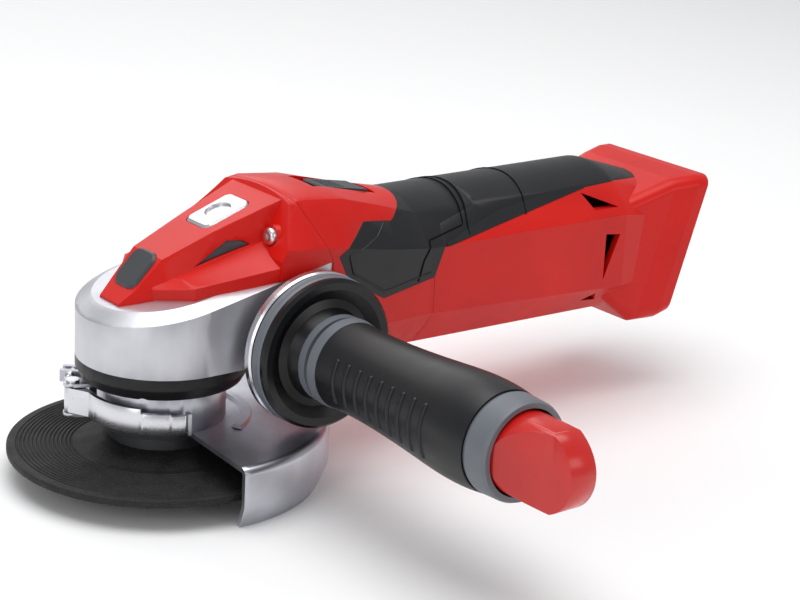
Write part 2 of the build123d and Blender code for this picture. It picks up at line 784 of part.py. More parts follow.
with BuildPart() as lock_button:
    with BuildSketch(Plane.XY.offset(carrier_bottom)):
        with Locations((button_x, 0)):
            RectangleRounded(button_length, button_width, 3.0)
    extrude(amount=30.0)
    split(bisect_by=button_plane, keep=Keep.BOTTOM)
    chamfer(lock_button.faces().sort_by(Axis.Z)[-1].edges(), 0.8)
    with BuildSketch(button_plane):
        Circle(5.2)
    extrude(amount=-0.9, mode=Mode.SUBTRACT)
    with BuildSketch(Plane.XY.offset(carrier_bottom)):
        with Locations(((carrier_front + carrier_rear) / 2, 0)):
            RectangleRounded(carrier_rear - carrier_front, carrier_width, 2.0)
    extrude(amount=carrier_thickness)

pin_bottom = gear_web_top + 1.2
lock_pin = ring(
    Plane(origin=(lock_radius, 0, pin_bottom)), lock_pin_radius, 0, carrier_bottom - pin_bottom
)
spring_bottom = roof_z - 5.0
spring_wire = 0.45
with BuildPart() as lock_spring:
    with BuildLine():
        coil = Helix(
            pitch=2.0, height=carrier_bottom - spring_bottom - 2 * spring_wire, radius=2.6,
            center=(button_x - 1.0, 0, spring_bottom + spring_wire),
        )
    with BuildSketch(Plane(origin=coil @ 0, z_dir=coil % 0)):
        Circle(spring_wire)
    sweep(is_frenet=True)

# ==== guard =======================================================================================
start = math.radians(guard_start_angle)
guard_plane = Plane(
    origin=(0, 0, 0), x_dir=(math.cos(start), math.sin(start), 0), z_dir=(math.sin(start), -math.cos(start), 0)
)
guard_inner = guard_radius - guard_sheet
skirt_bottom = guard_top - guard_skirt
lip_bottom = skirt_bottom - guard_lip_drop
with BuildPart() as guard_shell:
    with BuildSketch(guard_plane) as guard_profile:
        with BuildLine():
            Polyline(
                (collar_radius, guard_top),
                (guard_radius, guard_top),
                (guard_radius, skirt_bottom),
                (guard_lip_radius, lip_bottom),
                (guard_lip_radius - guard_sheet, lip_bottom),
                (guard_inner, skirt_bottom),
                (guard_inner, guard_top - guard_sheet),
                (collar_radius, guard_top - guard_sheet),
                close=True,
            )
        make_face()
        fillet(guard_profile.vertices().sort_by_distance((guard_radius, guard_top))[0], 3.0)
        fillet(guard_profile.vertices().sort_by_distance((guard_inner, guard_top - guard_sheet))[0], 1.0)
    revolve(axis=Axis.Z, revolution_arc=guard_angle)
    # pressed rib that stiffens the plate beside the collar
    with BuildSketch(Plane.XY.offset(guard_top)):
        Circle(34.0)
        Circle(29.5, mode=Mode.SUBTRACT)
        with BuildLine(mode=Mode.PRIVATE) as sector:
            Polyline(
                (0, 0), polar(60, -62)[:2], polar(60, -30)[:2], polar(60, 0)[:2], polar(60, 34)[:2], (0, 0)
            )
        add(make_face(sector.edges(), mode=Mode.PRIVATE), mode=Mode.INTERSECT)
    extrude(amount=1.1, taper=35)

band_start = math.radians(band_split_angle)
ear_z = guard_top + collar_height - 2.35
ear_height = 4.5
lever_top = lever_bottom + lever_height
hinge_dir = (math.cos(math.radians(hinge_angle)), math.sin(math.radians(hinge_angle)), 0)
ear_dir = (math.cos(band_start), math.sin(band_start), 0)
clevis_gap = 0.3
clevis_thickness = 1.4
with BuildPart() as guard_collar:
    with BuildSketch(Plane.XY.offset(guard_top - guard_sheet)):
        Circle(collar_radius)
    extrude(amount=collar_height + guard_sheet)
    with BuildSketch(Plane(origin=(0, 0, ear_z - ear_height / 2), x_dir=ear_dir)):
        with Locations((ear_reach / 2 + 10.0, 0)):
            Rectangle(ear_reach - 20.0, band_gap + 4.0)
    extrude(amount=ear_height)
    for low in (lever_bottom - clevis_gap - clevis_thickness, lever_top + clevis_gap):
        with BuildSketch(Plane(origin=(0, 0, low), x_dir=hinge_dir)):
            with Locations((hinge_radius - 6.0, 0)):
                Rectangle(12.0, 7.2)
            with Locations((hinge_radius, 0)):
                Circle(3.6)
        extrude(amount=clevis_thickness)
    with BuildSketch(Plane.XY.offset(guard_top - guard_sheet)):
        Circle(neck_radius + 0.08)
    extrude(amount=collar_height + guard_sheet + 5.0, mode=Mode.SUBTRACT)
    with BuildSketch(Plane(origin=(0, 0, guard_top - guard_sheet - 1.0), x_dir=ear_dir)):
        with Locations((30.0, 0)):
            Rectangle(40.0, band_gap)
    extrude(amount=collar_height + guard_sheet + 2.0, mode=Mode.SUBTRACT)
    with BuildSketch(Plane(origin=polar(hinge_radius, hinge_angle, guard_top))):
        Circle(lever_pin_radius)
    extrude(amount=20.0, mode=Mode.SUBTRACT)
    clamp_plane = Plane(origin=polar(ear_reach - 4.2, band_split_angle, ear_z), z_dir=(-ear_dir[1], ear_dir[0], 0))
    with BuildSketch(clamp_plane.offset(-10)):
        Circle(clamp_screw_radius)
    extrude(amount=20.0, mode=Mode.SUBTRACT)

ear_face = band_gap / 2 + 2.0
with BuildPart() as clamp_screw:
    with BuildSketch(clamp_plane.offset(ear_face)):
        Circle(2.2)
    extrude(amount=2.4)
    rim_edges = clamp_screw.edges().filter_by(GeomType.CIRCLE)
    fillet(rim_edges.sort_by_distance(clamp_plane.origin + clamp_plane.z_dir * 20)[0], 1.4)
    with BuildSketch(clamp_plane.offset(-ear_face - 1.5)):
        Circle(clamp_screw_radius)
    extrude(amount=2 * ear_face + 1.5)

with BuildPart() as lever_pin:
    with BuildSketch(Plane(origin=polar(hinge_radius, hinge_angle, lever_bottom - clevis_gap - clevis_thickness))):
        Circle(lever_pin_radius)
    extrude(amount=lever_height + 2 * clevis_gap + 2 * clevis_thickness)
    with BuildSketch(Plane(origin=polar(hinge_radius, hinge_angle, lever_top + clevis_gap + clevis_thickness))):
        Circle(lever_pin_radius + 0.9)
    extrude(amount=1.0)


def sector_points(reach, first, last):
    steps = 6
    points = [(0, 0)]
    for step in range(steps + 1):
        points.append(polar(reach, first + (last - first) * step / steps)[:2])
    return points


tip_angle = 360.0 + lever_tip_angle
with BuildPart() as clamp_lever:
    with BuildSketch(Plane.XY.offset(lever_bottom)):
        Circle(lever_radius + lever_sheet)
        Circle(lever_radius, mode=Mode.SUBTRACT)
        with BuildLine(mode=Mode.PRIVATE) as lever_sector:
            Polyline(*sector_points(60, hinge_angle + 13.0, tip_angle), close=True)
        add(make_face(lever_sector.edges(), mode=Mode.PRIVATE), mode=Mode.INTERSECT)
    extrude(amount=lever_height)
    with BuildSketch(Plane.XY.offset(lever_bottom)):
        with Locations(polar(hinge_radius, hinge_angle)[:2]):
            Circle(3.2)
        with Locations(polar(lever_radius + lever_sheet / 2, hinge_angle + 15.0)[:2]):
            Circle(lever_sheet / 2)
        make_hull()
    extrude(amount=lever_height)
    # the outer end is cut lower twice, and ends in a bent lip
    for first, drop in ((tip_angle - 36.0, 1.8), (tip_angle - 14.0, 2.6)):
        with BuildSketch(Plane.XY.offset(lever_top - drop)):
            with BuildLine(mode=Mode.PRIVATE) as drop_sector:
                Polyline(*sector_points(60, first, tip_angle + 5.0), close=True)
            add(make_face(drop_sector.edges(), mode=Mode.PRIVATE))
        extrude(amount=drop + 1.0, mode=Mode.SUBTRACT)
    with BuildSketch(Plane(origin=(0, 0, lever_bottom), x_dir=polar(1, tip_angle))):
        with Locations((lever_radius + 1.6, -0.6)):
            Rectangle(3.2, 1.2)
    extrude(amount=lever_height - 1.4)
    with BuildSketch(Plane(origin=polar(hinge_radius, hinge_angle, lever_bottom))):
        Circle(lever_pin_radius + run_gap)
    extrude(amount=lever_height, mode=Mode.SUBTRACT)

# ==== motor ===========================================================================================
front_bearing_x = 29.0
armature_end_x = 117.0
with BuildPart() as armature_shaft:
    with BuildSketch(motor_plane(pinion_front_x + 0.3)):
        Circle(shaft_radius * 0.5)
    extrude(amount=pinion_shank_x - pinion_front_x - 0.3)
    with BuildSketch(motor_plane(pinion_shank_x)):
        Circle(shaft_radius)
    extrude(amount=armature_end_x - pinion_shank_x)

front_inner_race, front_outer_race = race_radii(shaft_radius, motor_bearing_radius)
front_bearing_outer = ring(
    motor_plane(front_bearing_x), motor_bearing_radius, front_outer_race, motor_bearing_width
)
front_bearing_inner = ring(motor_plane(front_bearing_x), front_inner_race, shaft_radius, motor_bearing_width)
rear_bearing_x = 109.5
rear_bearing_radius = 8.0
rear_bearing_width = 5.0
rear_inner_race, rear_outer_race = race_radii(shaft_radius, rear_bearing_radius)
rear_bearing_outer = ring(motor_plane(rear_bearing_x), rear_bearing_radius, rear_outer_race, rear_bearing_width)
rear_bearing_inner = ring(motor_plane(rear_bearing_x), rear_inner_race, shaft_radius, rear_bearing_width)

fan_x = 41.5
fan_width = 9.0
blade_count = 11
with BuildPart() as fan:
    with BuildSketch(motor_plane(fan_x)):
        Circle(fan_radius)
    extrude(amount=1.4)
    with BuildSketch(motor_plane(fan_x)):
        Circle(6.2)
    extrude(amount=fan_width)
    with BuildSketch(motor_plane(fan_x)):
        with PolarLocations(9.3, blade_count):
            Rectangle(fan_radius - 5.9, 1.1)
    extrude(amount=fan_width - 1.0)
    with BuildSketch(motor_plane(fan_x)):
        Circle(shaft_radius)
    extrude(amount=fan_width, mode=Mode.SUBTRACT)

slot_count = 5
with BuildPart() as armature_core:
    with BuildSketch(motor_plane(core_front_x)):
        Circle(core_radius)
        with PolarLocations(core_radius - 1.5, slot_count):
            Rectangle(5.0, 4.0, mode=Mode.SUBTRACT)
        Circle(shaft_radius, mode=Mode.SUBTRACT)
    extrude(amount=core_length)

core_rear_x = core_front_x + core_length
with BuildPart() as armature_windings:
    with BuildSketch(motor_plane(core_front_x - 3.6)):
        Circle(core_radius - 1.2)
        Circle(shaft_radius + 0.5, mode=Mode.SUBTRACT)
    extrude(amount=3.6)
    with BuildSketch(motor_plane(core_rear_x)):
        Circle(core_radius - 1.2)
        Circle(shaft_radius + 0.5, mode=Mode.SUBTRACT)
    extrude(amount=5.0)
    with BuildSketch(motor_plane(core_front_x)):
        with PolarLocations(core_radius - 2.4, slot_count):
            Rectangle(2.9, 3.7)
    extrude(amount=core_length)

commutator_x = core_rear_x + 7.0
with BuildPart() as commutator:
    with BuildSketch(motor_plane(commutator_x)):
        Circle(7.0)
        with PolarLocations(7.0, slot_count):
            Rectangle(2.4, 0.5, mode=Mode.SUBTRACT)
        Circle(shaft_radius, mode=Mode.SUBTRACT)
    extrude(amount=11.0)

with BuildPart() as motor_can:
    with BuildSketch(motor_plane(can_front_x)):
        Circle(can_radius)
    extrude(amount=can_rear_x - can_front_x)
    with BuildSketch(motor_plane(can_front_x + can_wall)):
        Circle(can_radius - can_wall)
    extrude(amount=can_rear_x - can_front_x, mode=Mode.SUBTRACT)
    with BuildSketch(motor_plane(can_front_x)):
        Circle(7.0)
        with PolarLocations(12.5, 4, start_angle=45):
            Circle(2.6)
    extrude(amount=can_wall, mode=Mode.SUBTRACT)

with BuildPart() as magnets:
    with BuildSketch(motor_plane(can_front_x + 5.0)):
        Circle(can_radius - can_wall)
        Circle(can_radius - can_wall - magnet_thickness, mode=Mode.SUBTRACT)
        Rectangle(10.0, 60.0, mode=Mode.SUBTRACT)
    extrude(amount=32.0)

brush_plate_x = can_rear_x
plate_thickness = 3.0
rear_plate_x = rear_bearing_x - 0.5
with BuildPart() as brush_plate:
    with BuildSketch(motor_plane(brush_plate_x)):
        Circle(can_radius)
        Circle(8.5, mode=Mode.SUBTRACT)
    extrude(amount=plate_thickness)
    with BuildSketch(motor_plane(brush_plate_x + plate_thickness)):
        with PolarLocations(15.5, 4, start_angle=45):
            Circle(1.8)
    extrude(amount=rear_plate_x - brush_plate_x - plate_thickness)
    with BuildSketch(motor_plane(rear_plate_x)):
        Circle(can_radius - 0.5)
        Circle(6.8, mode=Mode.SUBTRACT)
    extrude(amount=6.0)
    with BuildSketch(motor_plane(rear_bearing_x)):
        Circle(rear_bearing_radius)
    extrude(amount=10.0, mode=Mode.SUBTRACT)
    with BuildSketch(motor_plane(rear_plate_x)):
        with Locations((14.0, 0), (-14.0, 0)):
            Circle(1.8)
    extrude(amount=10.0, mode=Mode.SUBTRACT)

holder_x = brush_plate_x + plate_thickness
with BuildPart() as brush_holders:
    for side in (-1, 1):
        with BuildSketch(Plane(origin=(holder_x + 3.0, side * 8.6, motor_z), x_dir=(1, 0, 0), z_dir=(0, side, 0))):
            Rectangle(6.0, 6.0)
            Rectangle(4.4, 4.4, mode=Mode.SUBTRACT)
        extrude(amount=8.6)
with BuildPart() as carbon_brushes:
    for side in (-1, 1):
        with BuildSketch(Plane(origin=(holder_x + 3.0, side * 7.1, motor_z), x_dir=(1, 0, 0), z_dir=(0, side, 0))):
            Rectangle(4.3, 4.3)
        extrude(amount=8.0)

# ==== motor housing, handle shells and grips ============================================================
top_slope = (103.0 - 96.6) / 38.0


def top_line(x):
    return 103.0 - (x - 46.0) * top_slope


recess_front = 60.0
recess_rear = 90.0
recess_depth = 2.5
grip_front = side_prism([
    (55.5, 80.5), (60.0, 71.0), (78.0, 60.5), (seam_x, 64.5), (108.5, 76.0), (111.0, 83.5),
    (131.0, 87.5), (129.0, 99.0), (86.0, 99.5),
], 60)
grip_rear = side_prism([
    (108.5, 76.0), (141.0, 83.6), (174.0, 86.6), (208.0, 87.6), (232.0, 84.4), (232.0, 99.0),
    (127.0, 99.0), (127.0, 88.5), (109.5, 85.0),
], 60)
with BuildPart() as red_tongue:
    with BuildSketch(Plane.XY.offset(85.0)):
        with BuildLine():
            Polyline((86.0, 24.0), (40.0, 30.0), (40.0, -30.0), (86.0, -24.0))
            ThreePointArc((86.0, -24.0), (100.0, 0), (86.0, 24.0))
        make_face()
    extrude(amount=30.0)
skin_layer = body_outer - body_under_skin
front_grip_zone = grip_front.part - red_tongue.part
with BuildPart() as front_grip:
    add(skin_layer)
    add(front_grip_zone, mode=Mode.INTERSECT)
with BuildPart() as rear_grip:
    add(skin_layer)
    add(grip_rear.part, mode=Mode.INTERSECT)
    add(front_grip_zone, mode=Mode.SUBTRACT)

with BuildPart() as motor_housing:
    add(body_outer)
    add(motor_zone.part, mode=Mode.INTERSECT)
    add(body_inner, mode=Mode.SUBTRACT)
    # rings that carry the motor, and the raised floor under the switch
    for web_x in (58.0, 92.0):
        with BuildSketch(motor_plane(web_x)):
            Rectangle(70.0, 90.0)
            Circle(can_radius + run_gap, mode=Mode.SUBTRACT)
            with Locations((0, 26.0)):
                Rectangle(9.0, 11.0, mode=Mode.SUBTRACT)
        extrude(amount=2.0)
    with BuildSketch(Plane.XZ):
        with BuildLine():
            Polyline(
                (recess_front - 2.5, top_line(recess_front - 2.5) - recess_depth - 2.0),
                (recess_rear + 2.5, top_line(recess_rear + 2.5) - recess_depth - 2.0),
                (recess_rear + 2.5, top_line(recess_rear + 2.5) - 1.0),
                (recess_front - 2.5, top_line(recess_front - 2.5) - 1.0),
                close=True,
            )
        make_face()
    extrude(amount=switch_half_width + 4.5, both=True)
    add(body_outer, mode=Mode.INTERSECT)
    with BuildSketch(Plane.XZ):
        with BuildLine():
            Polyline(
                (recess_front, top_line(recess_front) - recess_depth),
                (recess_rear, top_line(recess_rear) - recess_depth),
                (recess_rear, 110.0),
                (recess_front, 110.0),
                close=True,
            )
        make_face()
    extrude(amount=switch_half_width + 1.5, both=True, mode=Mode.SUBTRACT)
    with BuildSketch(Plane.XY.offset(88.0)):
        with Locations((75.0, 0)):
            Rectangle(19.0, 5.4)
    extrude(amount=20.0, mode=Mode.SUBTRACT)
    add(head_block.part, mode=Mode.SUBTRACT)
    add(front_grip.part, mode=Mode.SUBTRACT)
    with BuildSketch(Plane.YZ.offset(30.0)):
        with Locations((head_screw_y, head_screw_z), (-head_screw_y, head_screw_z)):
            Circle(head_screw_radius)
    extrude(amount=20.0, mode=Mode.SUBTRACT)

shell_zone = side_prism([
    (seam_x + seam_gap, 10.0), (seam_x + seam_gap, 106.0), (280.0, 106.0), (280.0, 10.0)
], 60)
# x, z and the depth (y) of each screw's seat
screw_places = (
    (120.0, 40.5, 17.0), (168.0, 39.5, 16.0), (178.0, 80.0, 21.0), (214.0, 39.0, 26.0), (224.0, 80.0, 26.0),
)
side_vents = (
    ((187.0, 85.6), (203.5, 79.0), (190.5, 79.0)),
    ((195.0, 69.0), (203.0, 68.0), (195.0, 49.0)),
    ((188.5, 39.5), (197.5, 38.5), (194.0, 43.0)),
)
shoe_width = 44.0
shoe_length = 52.0
shells = {}
for label, side in (("handle_shell_left", -1), ("handle_shell_right", 1)):
    with BuildPart() as shell:
        add(body_outer)
        add(shell_zone.part, mode=Mode.INTERSECT)
        add(body_inner, mode=Mode.SUBTRACT)
        for x, z, head_y in screw_places:
            with BuildSketch(Plane.XZ):
                with Locations((x, z)):
                    Circle(4.4)
            extrude(amount=60.0, both=True)
        add(body_outer, mode=Mode.INTERSECT)
        add(front_grip.part, mode=Mode.SUBTRACT)
        add(rear_grip.part, mode=Mode.SUBTRACT)
        for x, z, head_y in screw_places:
            with BuildSketch(Plane(origin=(0, head_y, 0), x_dir=(1, 0, 0), z_dir=(0, -1, 0))):
                with Locations((x, z)):
                    Circle(1.5)
            extrude(amount=head_y + 13.0, mode=Mode.SUBTRACT)
            with BuildSketch(Plane(origin=(0, head_y, 0), x_dir=(-1, 0, 0), z_dir=(0, 1, 0))):
                with Locations((-x, z)):
                    Circle(3.3)
            extrude(amount=30.0, mode=Mode.SUBTRACT)
        for outline in side_vents:
            with BuildSketch(Plane.XZ):
                with BuildLine():
                    Polyline(*outline, close=True)
                make_face()
            extrude(amount=60.0, both=True, mode=Mode.SUBTRACT)
        with BuildSketch(shoe_plane.offset(1.0)):
            Rectangle(shoe_width + 0.2, shoe_length + 0.2)
        extrude(amount=-8.0, mode=Mode.SUBTRACT)
        split(bisect_by=Plane.XZ.offset(-0.02 * side), keep=Keep.TOP if side < 0 else Keep.BOTTOM)
    shells[label] = shell

with BuildPart() as shell_screws:
    for x, z, head_y in screw_places:
        with BuildSketch(Plane(origin=(0, head_y, 0), x_dir=(1, 0, 0), z_dir=(0, -1, 0))):
            with Locations((x, z)):
                Circle(1.45)
        extrude(amount=head_y + 12.0)
        with BuildSketch(Plane(origin=(0, head_y, 0), x_dir=(-1, 0, 0), z_dir=(0, 1, 0))):
            with Locations((-x, z)):
                Circle(3.0)
                RegularPolygon(1.4, 6, mode=Mode.SUBTRACT)
        extrude(amount=2.2)

with BuildPart() as battery_shoe:
    with BuildSketch(shoe_plane.offset(-3.0)):
        Rectangle(shoe_width, shoe_length)
    extrude(amount=3.0)
    with BuildSketch(shoe_plane):
        Rectangle(26.0, shoe_length - 6.0)
    extrude(amount=rail_height)
    with BuildSketch(shoe_plane.offset(rail_height - 2.6)):
        Rectangle(34.0, shoe_length - 6.0)
    extrude(amount=2.6)
    with BuildSketch(shoe_plane.offset(rail_height)):
        with Locations((-8.0, -10.0), (0, -10.0), (8.0, -10.0)):
            Rectangle(1.8, 20.0)
    extrude(amount=-5.0, mode=Mode.SUBTRACT)
    with BuildSketch(shoe_plane.offset(rail_height)):
        with Locations((-8.0, -10.0), (0, -10.0), (8.0, -10.0)):
            Rectangle(0.82, 12.0)
    extrude(amount=-20.0, mode=Mode.SUBTRACT)

with BuildPart() as terminal_blades:
    with BuildSketch(shoe_plane.offset(-9.0)):
        with Locations((-8.0, -10.0), (0, -10.0), (8.0, -10.0)):
            Rectangle(0.8, 11.9)
    extrude(amount=9.0 + rail_height - 0.8)

# ==== switch ============================================================================================
slider_front = 66.0
slider_rear = 87.0
slider_drop = recess_depth - 0.25
with BuildPart() as switch_slider:
    with BuildSketch(Plane.XZ):
        with BuildLine():
            Polyline(
                (slider_front, top_line(slider_front) - slider_drop),
                (slider_rear, top_line(slider_rear) - slider_drop),
                (slider_rear, top_line(slider_rear) + 0.2),
                (slider_front, top_line(slider_front) + 0.2),
                close=True,
            )
        make_face()
    extrude(amount=switch_half_width, both=True)
    chamfer(switch_slider.faces().sort_by(Axis.Z)[-1].edges(), 0.7)
    for number in range(5):
        rib_x = slider_front + 3.4 + number * 1.9
        with BuildSketch(Plane.XZ):
            with Locations((rib_x, top_line(rib_x) + 0.2)):
                Rectangle(0.8, 1.0)
        extrude(amount=switch_half_width - 1.6, both=True, mode=Mode.SUBTRACT)

stem_x = 77.5
rod_top = 87.0
with BuildPart() as switch_rod:
    with BuildSketch(Plane.XZ):
        with BuildLine():
            Polyline(
                (stem_x - 4.5, rod_top - 2.5),
                (124.0, rod_top - 2.5),
                (124.0, rod_top),
                (stem_x + 4.5, rod_top),
                (stem_x + 4.5, top_line(stem_x + 4.5) - slider_drop),
                (stem_x - 4.5, top_line(stem_x - 4.5) - slider_drop),
                close=True,
            )
        make_face()
    extrude(amount=2.2, both=True)

with BuildPart() as switch_module:
    with BuildSketch(Plane.XY.offset(66.0)):
        with Locations((141.0, 0)):
            RectangleRounded(30.0, 18.0, 1.5)
    extrude(amount=23.0)

lead_radius = 1.1
lead_routes = []
for side in (-1, 1):
    lead_routes.append([
        (holder_x + 6.1, side * 14.0, motor_z), (117.0, side * 14.0, motor_z),
        (121.0, side * 11.5, motor_z + 6.0), (128.0, side * 11.5, motor_z + 9.0),
    ])
    lead_routes.append([
        (156.4, side * 5.0, 74.0), (170.0, side * 5.0, 74.0), (196.0, side * 7.0, 58.0),
        (214.0, side * 8.0, 51.0), (225.6, side * 8.0, 51.0),
    ])
with BuildPart() as leads:
    for route in lead_routes:
        with BuildLine():
            lead_path = FilletPolyline(*route, radius=4.5)
        with BuildSketch(Plane(origin=lead_path @ 0, z_dir=lead_path % 0)):
            Circle(lead_radius)
        sweep()

# ==== side handle ==========================================================================================
flange_back = boss_face_y + 2.0
ring_front = flange_back + 4.2
flange_face = 49.8
hub_radius = 12.0
tube_radius = 10.0
stud_radius = stud_hole_radius - run_gap
stud_length_in_core = 34.0
knob_shaft_radius = 5.0
handle_stud = ring(
    handle_plane(boss_face_y - stud_hole_depth + 0.6), stud_radius, 0, stud_hole_depth - 0.6 + stud_length_in_core
)
handle_core = handle_turned([
    (boss_face_y + 0.2, stud_radius), (boss_face_y + 0.2, hub_radius), (ring_front, hub_radius),
    (ring_front, hand_flange_radius - 0.6), (flange_face - 1.2, hand_flange_radius),
    (flange_face, hand_flange_radius - 1.2),
    (flange_face - 0.4, hand_flange_radius - 4.0), (flange_face - 2.6, hand_flange_radius - 8.0),
    (flange_face - 1.4, 17.5), (flange_face + 2.6, 15.4), (grip_start, 14.2), (grip_start, tube_radius),
    (grip_end + 2.5, tube_radius), (grip_end + 2.5, knob_shaft_radius + run_gap),
    (grip_end - 24.0, knob_shaft_radius + run_gap), (grip_end - 24.0, stud_radius),
])
flange_ring = handle_turned([
    (flange_back, hub_radius), (flange_back, hand_flange_radius - 0.9), (flange_back + 1.0, hand_flange_radius + 0.4),
    (ring_front - 0.8, hand_flange_radius + 0.4), (ring_front, hand_flange_radius - 0.2), (ring_front, hub_radius),
])
neck_first = 53.8
neck_second = 59.4


def neck_radius_at(reach):
    span = (reach - flange_face - 2.6) / (grip_start - flange_face - 2.6)
    return 15.4 + (14.2 - 15.4) * span


with BuildPart() as neck_rings:
    for low, high, stand in ((neck_first, neck_first + 3.4, 1.4), (neck_second, grip_start, 2.3)):
        made = handle_turned([
            (low, neck_radius_at(low)), (low + 0.2, neck_radius_at(low) + stand),
            (high - 0.2, neck_radius_at(high) + stand), (high, neck_radius_at(high)),
        ])
        add(made.part)

handle_axis = Axis((handle_x, 0, handle_z), (0, -1, 0))
with BuildPart() as handle_grip:
    with BuildSketch(Plane(origin=(handle_x, 0, handle_z), x_dir=(0, -1, 0), z_dir=(1, 0, 0))):
        with BuildLine():
            Line((grip_start, tube_radius), (grip_start, 16.4))
            Spline((grip_start, 16.4), (grip_start + 26.0, 16.4), (grip_end - 34.0, 18.0), (grip_end - 12.0, 19.3),
                   (grip_end, 18.4))
            Line((grip_end, 18.4), (grip_end, tube_radius))
            Line((grip_end, tube_radius), (grip_start, tube_radius))
        make_face()
    revolve(axis=handle_axis)

end_ring = handle_turned([
    (grip_end, 10.05), (grip_end, 17.6), (grip_end + 1.6, 18.2), (grip_end + 9.6, 17.8),
    (grip_end + 11.0, 17.2), (grip_end + 11.0, 15.4), (grip_end + 3.0, 15.4), (grip_end + 3.0, 10.05),
])
knob_foot = grip_end + 4.0
scoop_radius = 40.0
fin_half_thickness = 5.2
with BuildPart() as end_knob:
    with BuildSketch(handle_plane(knob_foot)):
        Circle(knob_radius)
    extrude(amount=handle_end - knob_foot)
    # two scoops leave a thumb fin, whose free end is rounded
    for side in (-1, 1):
        with BuildSketch(Plane(origin=(handle_x, 0, handle_z), x_dir=(0, -1, 0), z_dir=(0, 0, 1))):
            with Locations((handle_end - 4.0, side * (scoop_radius + fin_half_thickness))):
                Circle(scoop_radius)
        extrude(amount=40.0, both=True, mode=Mode.SUBTRACT)
    with BuildSketch(Plane(origin=(handle_x, 0, handle_z), x_dir=(0, -1, 0), z_dir=(1, 0, 0))):
        with Locations((handle_end - knob_radius, 0)):
            Circle(knob_radius)
        with Locations(((knob_foot + handle_end - knob_radius) / 2, 0)):
            Rectangle(handle_end - knob_radius - knob_foot, 2 * knob_radius)
    extrude(amount=40.0, both=True, mode=Mode.INTERSECT)
    with BuildSketch(handle_plane(grip_end - 23.0)):
        Circle(knob_shaft_radius)
    extrude(amount=knob_foot - grip_end + 23.0)

pieces = {
    "spindle": spindle, "inner_flange": inner_flange, "grinding_disc": grinding_disc, "disc_bush": disc_bush,
    "lock_nut": lock_nut, "spindle_bearing_inner": spindle_bearing_inner,
    "spindle_bearing_outer": spindle_bearing_outer, "bevel_gear": bevel_gear, "pinion": pinion,
    "bearing_cover": bearing_cover, "bearing_cover_screws": bearing_cover_screws, "dust_seal": dust_seal,
    "gear_housing": gear_housing, "spindle_needle_bearing": needle_bearing, "head_cover": head_cover,
    "cover_pad": cover_pad, "vent_inserts": vent_inserts, "head_screws": head_screws, "lock_button": lock_button,
    "lock_pin": lock_pin, "lock_spring": lock_spring, "guard_shell": guard_shell, "guard_collar": guard_collar,
    "clamp_screw": clamp_screw, "lever_pin": lever_pin, "clamp_lever": clamp_lever,
    "armature_shaft": armature_shaft, "front_bearing_outer": front_bearing_outer,
    "front_bearing_inner": front_bearing_inner, "rear_bearing_outer": rear_bearing_outer,
    "rear_bearing_inner": rear_bearing_inner, "fan": fan, "armature_core": armature_core,
    "armature_windings": armature_windings, "commutator": commutator, "motor_can": motor_can, "magnets": magnets,
    "brush_plate": brush_plate, "brush_holders": brush_holders, "carbon_brushes": carbon_brushes,
    "motor_housing": motor_housing, "front_grip": front_grip, "rear_grip": rear_grip,
    "handle_shell_left": shells["handle_shell_left"], "handle_shell_right": shells["handle_shell_right"],
    "shell_screws": shell_screws, "battery_shoe": battery_shoe, "terminal_blades": terminal_blades,
    "switch_slider": switch_slider, "switch_rod": switch_rod, "switch_module": switch_module, "leads": leads,
    "handle_stud": handle_stud, "handle_core": handle_core, "flange_ring": flange_ring, "neck_rings": neck_rings,
    "handle_grip": handle_grip, "end_ring": end_ring, "end_knob": end_knob,
}
for label, piece in pieces.items():
    piece.part.label = label
    export_step(piece.part, f"parts/{label}.step")
print(len(pieces), "pieces")
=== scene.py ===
import bpy
import bmesh
import json
import math
from mathutils import Matrix, Vector
from mathutils.bvhtree import BVHTree


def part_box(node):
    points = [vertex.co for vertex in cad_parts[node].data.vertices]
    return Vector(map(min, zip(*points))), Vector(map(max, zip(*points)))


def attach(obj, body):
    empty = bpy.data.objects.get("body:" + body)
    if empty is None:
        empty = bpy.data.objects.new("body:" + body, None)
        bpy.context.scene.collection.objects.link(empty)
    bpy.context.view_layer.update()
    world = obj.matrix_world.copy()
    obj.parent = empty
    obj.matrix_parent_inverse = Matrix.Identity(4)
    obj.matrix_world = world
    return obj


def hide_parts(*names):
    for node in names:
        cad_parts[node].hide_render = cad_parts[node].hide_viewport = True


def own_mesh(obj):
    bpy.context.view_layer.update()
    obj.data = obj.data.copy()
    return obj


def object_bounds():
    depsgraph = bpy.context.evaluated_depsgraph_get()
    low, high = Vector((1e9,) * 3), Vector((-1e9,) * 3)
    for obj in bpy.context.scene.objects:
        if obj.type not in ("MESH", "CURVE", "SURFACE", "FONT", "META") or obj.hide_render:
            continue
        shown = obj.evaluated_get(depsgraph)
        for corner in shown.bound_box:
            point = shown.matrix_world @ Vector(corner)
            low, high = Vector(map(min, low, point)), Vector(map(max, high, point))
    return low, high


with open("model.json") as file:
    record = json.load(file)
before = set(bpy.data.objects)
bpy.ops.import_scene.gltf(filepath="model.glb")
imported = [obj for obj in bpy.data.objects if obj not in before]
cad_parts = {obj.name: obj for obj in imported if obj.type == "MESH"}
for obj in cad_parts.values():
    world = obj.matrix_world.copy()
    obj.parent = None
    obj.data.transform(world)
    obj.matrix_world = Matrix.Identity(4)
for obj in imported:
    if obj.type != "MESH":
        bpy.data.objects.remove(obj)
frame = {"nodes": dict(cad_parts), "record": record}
cadBox = [list(corner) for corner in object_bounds()]
mm = 0.001
print("frame loaded")

